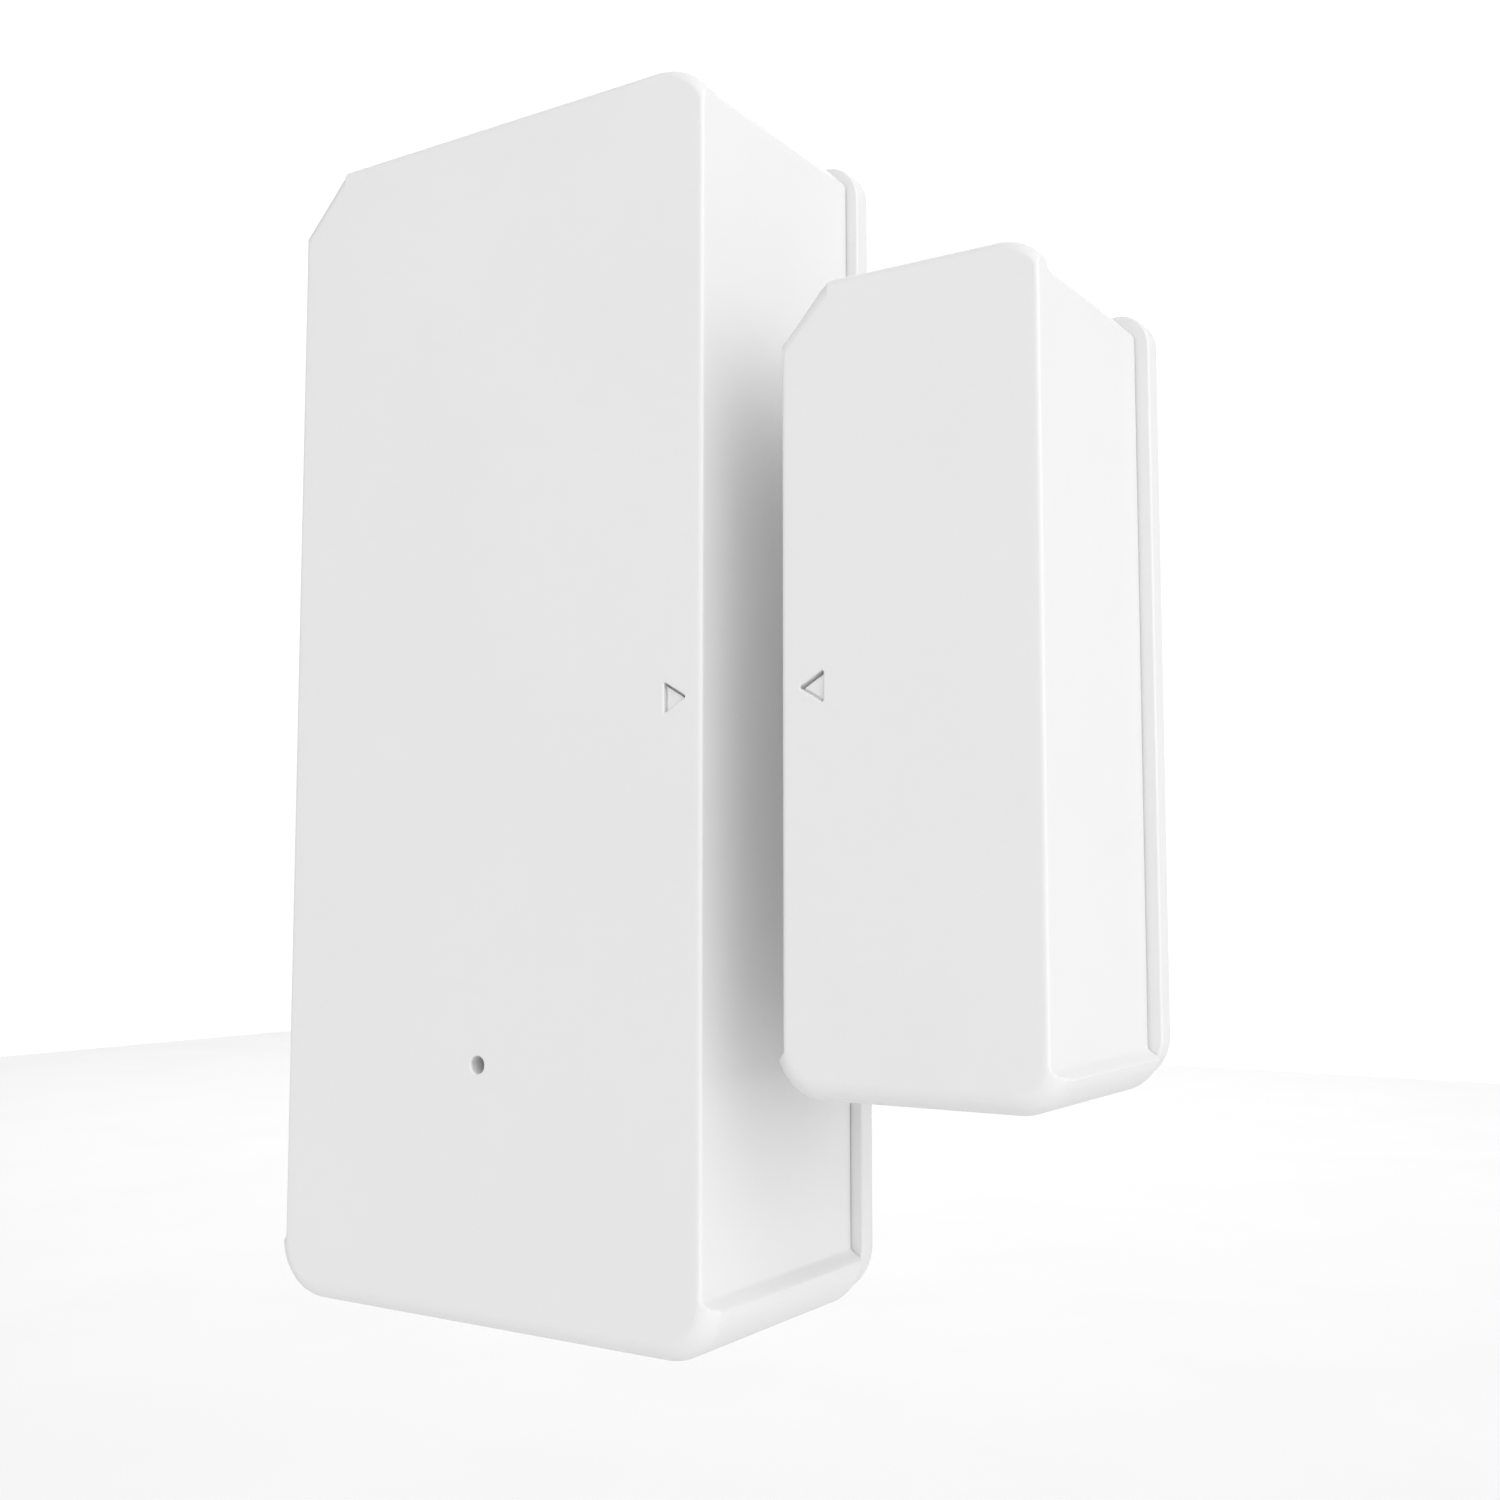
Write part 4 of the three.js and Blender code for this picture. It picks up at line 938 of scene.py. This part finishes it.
def light_pipe_piece():
    low, high, place = span("light_pipe")
    front = low.y + 0.75
    stem, flange = 0.45, (high.x - low.x) / 2
    profile = [
        (0, front + 0.02), (0.2, front), (0.38, front + 0.03), (stem, front + 0.12), (stem, high.y - 0.3),
        (stem + 0.05, high.y - 0.25), (flange - 0.06, high.y - 0.25), (flange, high.y - 0.19),
        (flange, high.y - 0.06), (flange - 0.06, high.y), (0.3, high.y), (0, high.y - 0.06),
    ]
    bm = turned_bm(profile, (place.x, 0, place.z))
    finish_piece("light_guide", bm, "clear_plastic", "light_pipe")


def module_pieces():
    low, high = box_mm("wifi_module_board")
    can_low, can_high = box_mm("wifi_shield_can")
    bm = slab_bm(corners_of(low, high, 0.15), low.y, high.y, 0.04)
    piece = finish_piece("module_board", bm, "module_board", "wifi_module_board")
    centre_z = (can_low.z + can_high.z) / 2
    pad_pitch = 1.5
    rows = [centre_z + (step - 2.5) * pad_pitch for step in range(6)]
    carve(piece, [pin_bm(0.3, x, z, low.y - 1, high.y + 1, 16) for z in rows for x in (low.x, high.x)])
    metal = bmesh.new()
    sunk, proud = high.y - 0.02, high.y + 0.03
    for z in rows:
        for x, side in ((low.x, 1), (high.x, -1)):
            reach = sorted([x + side * 0.3, x + side * 1.0])
            rounded_block(metal, (reach[0], sunk, z - 0.36), (reach[1], proud, z + 0.36), 0.02, 1)
    antenna_low, antenna_high = low.z + 0.5, can_low.z - 0.35
    pitch, line = 1.25, 0.28
    count = int((high.x - low.x - 1.4) / pitch)
    for step in range(count + 1):
        x = low.x + 0.7 + step * pitch
        rounded_block(metal, (x, sunk, antenna_low), (x + line, proud, antenna_high), 0.01, 1)
        if step < count:
            z = antenna_high - line if step % 2 else antenna_low
            rounded_block(metal, (x, sunk, z), (x + pitch + line, proud + 0.002, z + line), 0.01, 1)
    finish_piece("module_metal", metal, "gold_pads")

    can = block_bm(can_low, can_high, 0.35, 4)
    piece = finish_piece("shield_can", can, "nickel", "wifi_shield_can")
    wall, border = 0.25, 1.1
    inside_low = (can_low.x + wall, can_low.y - 1, can_low.z + wall)
    inside = block_bm(inside_low, (can_high.x - wall, can_high.y - wall, can_high.z - wall), 0.2)
    step_low = (can_low.x + border, can_high.y - 0.07, can_low.z + border)
    frame_step = block_bm(step_low, (can_high.x - border, can_high.y + 1, can_high.z - border), 0.06)
    column_pitch, row_pitch = 2.6, 4.2
    columns = [can_low.x + 2.4 + column * column_pitch for column in range(4)]
    rows = [can_low.z + 2.2 + row * row_pitch for row in range(2)]
    vent_ends = (can_high.y - 0.6, can_high.y + 1)
    vents = [pin_bm(0.3, x, z, *vent_ends, sides=16) for x in columns for z in rows]
    carve(piece, [inside, frame_step, *vents])


def switch_pieces():
    low, high, place = span("switch_body")
    body = block_bm(low, (high.x, high.y - 0.3, high.z), 0.2, 3)
    piece = finish_piece("tact_base", body, "dark_plastic", "switch_body")
    carve(piece, [pin_bm(1.86, place.x, place.z, high.y - 2, high.y + 1, 40)])
    cover_corners = corners_of((low.x + 0.1, 0, low.z + 0.1), (high.x - 0.1, 0, high.z - 0.1), 0.5)
    bm = slab_bm(cover_corners, high.y - 0.32, high.y, 0.08)
    cover = finish_piece("tact_cover", bm, "nickel")
    carve(cover, [pin_bm(1.95, place.x, place.z, high.y - 2, high.y + 1, 40)])
    rivets = bmesh.new()
    legs = bmesh.new()
    rivet = [
        (0, high.y - 0.3), (0.38, high.y - 0.3), (0.38, high.y - 0.06), (0.26, high.y - 0.01),
        (0, high.y - 0.01),
    ]
    for side_x in (-1, 1):
        for side_z in (-1, 1):
            x = place.x + side_x * 2.3
            lathe(rivets, rivet, (x, 0, place.z + side_z * 2.3), sides=20)
            leg_z = place.z + side_z * 3.05
            add_bar(legs, x, leg_z, 0.35, 0.3, low.y - 0.01, low.y + 0.2, 0.06, 3)
    finish_piece("tact_rivets", rivets, "dark_plastic")
    finish_piece("tact_legs", legs, "nickel")

    low, high = box_mm("switch_plunger")
    radius = (high.x - low.x) / 2
    profile = [
        (0, low.y), (radius - 0.15, low.y), (radius, low.y + 0.15), (radius, high.y - 1.6),
        (radius - 0.2, high.y - 1.5), (radius - 0.2, high.y - 0.2), (radius - 0.4, high.y), (0, high.y),
    ]
    bm = turned_bm(profile, (place.x, 0, place.z))
    finish_piece("tact_plunger", bm, "dark_plastic", "switch_plunger", "pairing_button")

    low, high = box_mm("pairing_button")
    radius = (high.x - low.x) / 2
    socket = 1.78
    profile = [
        (0, low.y + 2), (socket, low.y + 2), (socket, low.y + 0.15), (socket + 0.1, low.y),
        (radius - 0.12, low.y), (radius, low.y + 0.12), (radius, low.y + 1.0), (radius - 0.12, low.y + 1.15),
        (radius - 0.12, high.y - 0.3), (radius - 0.22, high.y - 0.08), (radius - 0.45, high.y),
        (1.45, high.y - 0.03), (1.1, high.y - 0.14), (0.6, high.y - 0.25), (0, high.y - 0.3),
    ]
    bm = turned_bm(profile, (place.x, 0, place.z), sides=56)
    finish_piece("button_cap", bm, "button_plastic", "pairing_button", "pairing_button")


def capacitor_pieces():
    low, high, place = span("capacitor")
    radius = (high.x - low.x) / 2
    profile = [
        (0, low.y + 0.3), (radius - 0.15, low.y + 0.3), (radius, low.y + 0.45), (radius, low.y + 1.0),
        (radius - 0.06, low.y + 1.05), (radius - 0.18, low.y + 1.15), (radius - 0.06, low.y + 1.27),
        (radius, low.y + 1.35), (radius, high.y - 0.3), (radius - 0.08, high.y - 0.1),
        (radius - 0.3, high.y), (0, high.y),
    ]
    bm = turned_bm(profile, (place.x, 0, place.z), sides=48)
    can = finish_piece("capacitor_can", bm, "aluminium_can", "capacitor")
    arms = [(1.2, 0.06), (0.06, 1.2)]
    carve(can, cross_bms(place.x, place.z, arms, high.y - 0.07, high.y + 1, radius=0.02, segments=1))
    reach = radius - 0.02
    sides = [(-1, -1, 0.6), (1, -1, 0.6), (1, 1, 0.3), (-1, 1, 0.3)]
    corners = [(place.x + x * reach, place.z + z * reach, corner) for x, z, corner in sides]
    base = slab_bm(corners, low.y, low.y + 0.32, 0.05)
    finish_piece("capacitor_base", base, "dark_plastic")


def screw_piece(node, name):
    """A pan-head screw with a cross recess and a threaded shank that points forward."""
    low, high, place = span(node)
    head = (high.x - low.x) / 2
    seat = high.y - 0.9
    profile = [(0, low.y), (0.2, low.y + 0.02), (0.45, low.y + 0.35)]
    pitch = 0.32
    y = low.y + 0.4
    while y + pitch < seat:
        profile += [(0.48, y), (0.61, y + pitch * 0.5), (0.48, y + pitch)]
        y += pitch
    profile += [(0.5, seat), (head - 0.08, seat), (head, seat + 0.1), (head - 0.04, seat + 0.4)]
    profile += [(head - 0.22, seat + 0.7), (head - 0.55, seat + 0.86), (0.4, high.y - 0.005), (0, high.y)]
    bm = turned_bm(profile, (place.x, 0, place.z), sides=36)
    piece = finish_piece(name, bm, "screw_steel", node, smooth_angle=28)
    carve(piece, cross_bms(place.x, place.z, [(0.85, 0.17), (0.17, 0.85)], high.y - 0.5, high.y + 1))


regulator_pieces()
led_pieces()
light_pipe_piece()
module_pieces()
switch_pieces()
capacitor_pieces()
for node in SCREW_NODES:
    screw_piece(node, node.replace("screw", "fixing"))

# ---------------------------------------------------------------- reed switch

def reed_pieces():
    low, high, place = span("reed_glass")
    half = (high.z - low.z) / 2
    outer, inner = (high.x - low.x) / 2, 0.7
    outside = [(inner + 0.03, -half + 0.02), (0.85, -half + 0.12), (0.95, -half + 0.3), (outer, -half + 0.7)]
    outside += [(radius, -height) for radius, height in reversed(outside)]
    profile = [(inner, -half), *outside, (inner, half), (inner, -half)]
    bm = turned_bm(profile, place, axis="Z", sides=32)
    finish_piece("reed_tube", bm, "reed_glass", "reed_glass")

    thickness, bend = 0.2, 0.35
    for node, name, side in (("reed_fixed_blade", "fixed_reed", -1), ("reed_upper_lead", "upper_reed", 1)):
        low, high = box_mm(node)
        inner_z, outer_z = (high.z, low.z) if side < 0 else (low.z, high.z)
        blade_y = high.y - thickness / 2
        foot_y = low.y + thickness / 2
        riser_z = outer_z - side * 1.1
        soft = bend * 0.3
        path = [
            (blade_y, inner_z), (blade_y, riser_z - side * bend), (blade_y - soft, riser_z - side * soft),
            (blade_y - bend, riser_z), (foot_y + bend, riser_z), (foot_y + soft, riser_z + side * soft),
            (foot_y, riser_z + side * bend), (foot_y, outer_z),
        ]
        bm = strip_bm(path, low.x, high.x, thickness)
        finish_piece(name, bm, "nickel", node)
    low, high = box_mm("reed_moving_blade")
    centre_y = (low.y + high.y) / 2
    path = [(centre_y, low.z), (centre_y, low.z + 1.4), (centre_y, high.z - 1), (centre_y, high.z)]
    bm = strip_bm(path, low.x, high.x, thickness)
    finish_piece("moving_reed", bm, "nickel", "reed_moving_blade", "reed_blade")


reed_pieces()

# ---------------------------------------------------------------- cells, springs, contacts and tray

def cell_mesh(profile, place, foot, up):
    """A turned piece of a cell, from heights above its negative end."""
    turned_profile = [(radius, height if up else -height) for radius, height in profile]
    return turned_bm(turned_profile, (place.x, place.y, foot), axis="Z", sides=64)


def cell_pieces(side, up):
    low, high, place = span(f"cell_{side}_jacket")
    foot = low.z if up else high.z
    jacket = [
        (0, 0.3), (4.66, 0.3), (4.86, 0.03), (5.05, 0.0), (5.19, 0.07), (5.25, 0.25), (5.25, 0.8),
        (5.23, 0.95), (5.25, 1.1), (5.25, 42.5), (5.23, 42.7), (5.25, 42.9), (5.25, 43.3), (5.19, 43.5),
        (5.05, 43.59), (4.4, 43.6), (4.3, 43.5), (4.3, 43.3), (0, 43.3),
    ]
    film = f"cell_film_{side}"
    cell_film(film, low.z, high.z, up)
    bm = cell_mesh(jacket, place, foot, up)
    finish_piece(f"cell_{side}_film", bm, film, f"cell_{side}_jacket")
    cap = [
        (0, 43.32), (4.2, 43.32), (4.2, 43.5), (4.1, 43.56), (3.0, 43.6), (2.3, 43.6), (2.05, 43.66),
        (1.94, 43.8), (1.9, 44.0), (1.9, 44.3), (1.82, 44.44), (1.65, 44.5), (0.5, 44.5), (0.3, 44.46),
        (0, 44.46),
    ]
    bm = cell_mesh(cap, place, foot, up)
    piece = finish_piece(f"cell_{side}_button", bm, "cell_steel", f"cell_{side}_cap")
    vents = []
    vent_circle, vent_radius = 2.55, 0.22
    bottom, top = (43.56, 44.3) if up else (-44.3, -43.56)
    for step in range(4):
        angle = math.pi / 4 + step * math.pi / 2
        centre = (place.x + vent_circle * math.cos(angle), place.y + vent_circle * math.sin(angle), foot)
        vents.append(turned_bm(cylinder(vent_radius, bottom, top), centre, axis="Z", sides=16))
    carve(piece, vents)
    base = [
        (0, 0.02), (1.2, 0.02), (1.35, 0.08), (2.9, 0.08), (3.05, 0.02), (3.3, 0.0), (4.4, 0.0), (4.5, 0.03),
        (4.55, 0.1), (4.55, 0.28), (0, 0.28),
    ]
    bm = cell_mesh(base, place, foot, up)
    finish_piece(f"cell_{side}_foot", bm, "cell_steel", f"cell_{side}_base")


def spring_piece(side, up):
    low, high, place = span(f"spring_{side}")
    wire, turns, wide, narrow = 0.24, 3, 3.1, 1.9
    height = high.z - low.z
    points = []
    steps = turns * 40
    for step in range(steps + 1):
        share = step / steps
        angle = share * turns * 2 * math.pi
        radius = wide + (narrow - wide) * share
        rise = smooth_step(0.08, 0.92, share) * 0.4 + share * 0.6
        along = wire + (height - 2 * wire - 0.02) * rise
        x = place.x + (radius if up else -radius) * math.cos(angle)
        z = low.z + along if up else high.z - along
        points.append(Vector((x, place.y + radius * math.sin(angle), z)))
    finish_piece(f"coil_{side}", wire_bm(points, wire), "spring_steel", f"spring_{side}")


def contact_pieces():
    """Stamped contacts: a plate with rounded top corners, a pressed ring, and a tab to the board."""
    tray_floor = box_mm("contact_bridge")[0].y
    cell_below_top = 4.2
    for node, name in (("contact_negative", "negative_contact"), ("contact_positive", "positive_contact")):
        low, high = box_mm(node)
        centre_x = (low.x + high.x) / 2
        plate = block_bm((low.x, tray_floor, low.z), (high.x, high.y, high.z), 0.07)
        piece = finish_piece(name, plate, "nickel", node)
        tab_low = (centre_x - 1, low.y, low.z + 0.005)
        carve(piece, [block_bm(tab_low, (centre_x + 1, tray_floor + 1.5, high.z - 0.005), 0.05)], "UNION")
        centre = (centre_x, high.y - cell_below_top, high.z)
        profile = [(2.2, -0.06), (2.6, -0.06), (2.6, 0.5), (2.2, 0.5), (2.2, -0.06)]
        carve(piece, [turned_bm(profile, centre, axis="Z")])
    low, high = box_mm("contact_bridge")
    plate = block_bm(low, high, 0.07)
    piece = finish_piece("bridge_contact", plate, "nickel", "contact_bridge")
    groove_y = high.y - cell_below_top
    low_corner = (low.x + 3.2, groove_y - 0.5, low.z - 1)
    carve(piece, [block_bm(low_corner, (high.x - 3.2, groove_y + 0.5, low.z + 0.07), 0.05)])


def tray_piece():
    low, high = box_mm("battery_tray")
    contact_low, _ = box_mm("contact_negative")
    _, bridge_high = box_mm("contact_bridge")
    wall, floor_thickness, cell_radius = 0.8, 0.8, 5.35
    front = BOARD_REAR + 0.05
    floor_top = front + floor_thickness
    left = low.x
    right = middle("cell_right_jacket").x + 5.55 + wall
    inner_bottom, inner_top = contact_low.z, bridge_high.z
    side_top = front + 5.35
    chamfer = 1.3
    outline = [
        (left, low.z, 0.5), (right, low.z, 0.5), (right, high.z, 0.5),
        (left + chamfer, high.z, 0.3), (left, high.z - chamfer, 0.3),
    ]
    bm = slab_bm(outline, front, high.y, 0.12)
    piece = finish_piece("cell_tray", bm, "tray_plastic", "battery_tray")
    inside = block_bm((left + wall, floor_top, inner_bottom), (right - wall, high.y + 1, inner_top), 0.25, 3)
    opening = block_bm((left - 1, side_top, inner_bottom + 6), (right + 1, high.y + 1, inner_top - 6), 0.9, 5)
    carve(piece, [inside, opening])
    joins = []
    for place in SCREW_PLACES[2:]:
        root, reach, half = right - 0.3, place.x + 1.4, 2.2
        corners = [
            (root, place.z - half, 0.1), (reach, place.z - half, 0.9),
            (reach, place.z + half, 0.9), (root, place.z + half, 0.1),
        ]
        joins.append(slab_bm(corners, front, floor_top, 0.08))
    saddle_height, saddle_width = 2.6, 1.2
    for z in (-12, 4, 20):
        saddle_high = (right - 0.3, floor_top + saddle_height, z + saddle_width)
        joins.append(block_bm((left + 0.3, floor_top - 0.2, z), saddle_high, 0.1))
    for z in (12, -8):
        pin = [(0, -1), (0.4, -1), (0.58, -0.8), (0.58, 0.3), (0, 0.3)]
        joins.append(turned_bm(pin, (-11.4, front, z), sides=20))
    carve(piece, joins, "UNION")
    cuts = [pin_bm(0.85, place.x, place.z, front - 1, floor_top + 1) for place in SCREW_PLACES[2:]]
    for side in ("left", "right"):
        place = middle(f"cell_{side}_jacket")
        cell_room = cylinder(cell_radius, -21, 21)
        cuts.append(turned_bm(cell_room, (place.x, place.y, 6), axis="Z", sides=64))
        slot_low = (place.x - 1.2, front - 1, inner_bottom)
        cuts.append(block_bm(slot_low, (place.x + 1.2, floor_top + 0.4, inner_bottom + 0.5), 0.05))
        up = side == "left"
        for end, is_plus in ((inner_top - 7.5, up), (inner_bottom + 6.5, not up)):
            arms = [(1, 0.2), (0.2, 1)] if is_plus else [(1, 0.2)]
            cuts += cross_bms(place.x, end, arms, floor_top - 0.25, floor_top + 0.3)
    carve(piece, cuts)


cell_pieces("left", True)
cell_pieces("right", False)
spring_piece("left", True)
spring_piece("right", False)
contact_pieces()
tray_piece()

# ---------------------------------------------------------------- inside the magnet unit

def magnet_pieces():
    low, high = box_mm("magnet_cradle")
    magnet_low, magnet_high = box_mm("bar_magnet")
    cradle = block_bm(low, high, 0.2, 3)
    piece = finish_piece("cradle", cradle, "tray_plastic", "magnet_cradle", "magnet_unit")
    room = 0.2
    pocket = block_bm(
        (magnet_low.x - room, magnet_low.y, magnet_low.z - room),
        (magnet_high.x + room, high.y + 1, magnet_high.z + room), 0.1,
    )
    notch = block_bm((low.x - 1, magnet_low.y + 1, -3), (high.x + 1, high.y + 2, 3), 0.6, 4)
    carve(piece, [pocket, notch])
    magnet = slab_bm(corners_of(magnet_low, magnet_high, 0.4), magnet_low.y, magnet_high.y, 0.25)
    finish_piece("magnet_bar", magnet, "magnet_plating", "bar_magnet", "magnet_unit")

    low, high = box_mm("magnet_foam")
    bm = block_bm(low, high, 0.12, 3)
    finish_piece("foam_strip", bm, "foam_pad", "magnet_foam", "magnet_unit")
    post_low = (magnet_low.x + 1, high.y, -10)
    post_high = (magnet_high.x - 1, MAGNET_UNIT.front + MAGNET_UNIT.plate_front + 0.3, 10)
    return block_bm(post_low, post_high, 0.25, 3)


magnet_post = magnet_pieces()
carve(bpy.data.objects["magnet_plate"], [magnet_post], "UNION")

# Screw bosses that stand up from the inside of the transmitter's front wall.
root, rim = FRONT_WALL - 0.3, BOARD_LOW.y - TRANSMITTER.front
profile = [(0, root), (1.85, root), (1.62, FRONT_WALL + 0.2), (1.58, rim - 0.06), (1.5, rim), (0, rim)]
centres = [(place.x, TRANSMITTER.front, place.z) for place in SCREW_PLACES]
carve(shell, [turned_bm(profile, centre, sides=36) for centre in centres], "UNION")
pilot_front, pilot_back = TRANSMITTER.front + 0.9, BOARD_LOW.y + 1
carve(shell, [pin_bm(0.68, place.x, place.z, pilot_front, pilot_back, 24) for place in SCREW_PLACES])

# ---------------------------------------------------------------- stage, light and camera

def area_light(name, place, target, size, watts):
    data = bpy.data.lights.new(name, "AREA")
    data.size = size
    data.energy = watts
    light = add_object(name, data)
    light.location = place
    light.rotation_mode = "QUATERNION"
    light.rotation_quaternion = (Vector(target) - Vector(place)).to_track_quat("-Z", "Y")


def make_floor():
    bm = bmesh.new()
    bmesh.ops.create_grid(bm, x_segments=8, y_segments=8, size=FLOOR_SIZE * MM / 2)
    mesh = bpy.data.meshes.new("floor")
    bm.to_mesh(mesh)
    bm.free()
    floor = add_object("floor", mesh)
    floor.location.z = CAD_BOX[0].z - FLOOR_DROP * MM
    shader = Shader("pale_floor", (0.93, 0.93, 0.93), 0.7)
    tone = shader.noise(60, detail=3)
    shader.color_from(shader.ramp(tone, [(0.3, (0.93, 0.93, 0.93)), (0.7, (0.95, 0.95, 0.95))]))
    mesh.materials.append(MATERIALS["pale_floor"])


def make_world():
    """A pale room: an even glow, and softly bounded brighter sides."""
    world = bpy.data.worlds.new("soft_white")
    world.use_nodes = True
    nodes = Nodes(world.node_tree)
    direction = nodes.add("ShaderNodeTexCoord").outputs["Generated"]
    total = None
    for toward, strength, start, end in ROOM_LOBES:
        axis = {1: Vector(toward).normalized()}
        dot = nodes.add("ShaderNodeVectorMath", axis, {0: direction}, operation="DOT_PRODUCT")
        reach = {"From Min": start, "From Max": end, "To Max": strength}
        cosine = {"Value": dot.outputs["Value"]}
        lobe = nodes.add("ShaderNodeMapRange", reach, cosine, interpolation_type="SMOOTHSTEP")
        parts = {1: lobe.outputs["Result"]}
        if total is not None:
            parts[0] = total
        total = nodes.add("ShaderNodeMath", {0: ROOM_GLOW}, parts).outputs["Value"]
    background = nodes.tree.nodes["Background"]
    background.inputs["Color"].default_value = (1, 1, 1, 1)
    nodes.link(total, background.inputs["Strength"])
    bpy.context.scene.world = world


def make_camera():
    data = bpy.data.cameras.new("camera")
    data.lens = CAMERA_LENS
    data.sensor_width = SENSOR_WIDTH
    data.clip_start = 0.005
    data.clip_end = 20
    camera = add_object("camera", data)
    camera.location = Vector(CAMERA_PLACE) * MM
    yaw, pitch = math.radians(CAMERA_YAW), math.radians(CAMERA_PITCH)
    look = Vector((-math.sin(yaw) * math.cos(pitch), math.cos(yaw) * math.cos(pitch), math.sin(pitch)))
    camera.rotation_mode = "QUATERNION"
    camera.rotation_quaternion = look.to_track_quat("-Z", "Y")
    bpy.context.scene.camera = camera


make_floor()
make_world()
make_camera()
area_light("key", (0.35, -0.16, 0.3), (0.01, 0, 0.01), 0.22, 0.2)
area_light("backdrop", (-0.5, 0.9, 0.9), (-0.5, 0.9, -0.15), 1.2, 4.5)
bpy.context.scene.view_settings.view_transform = "Standard"
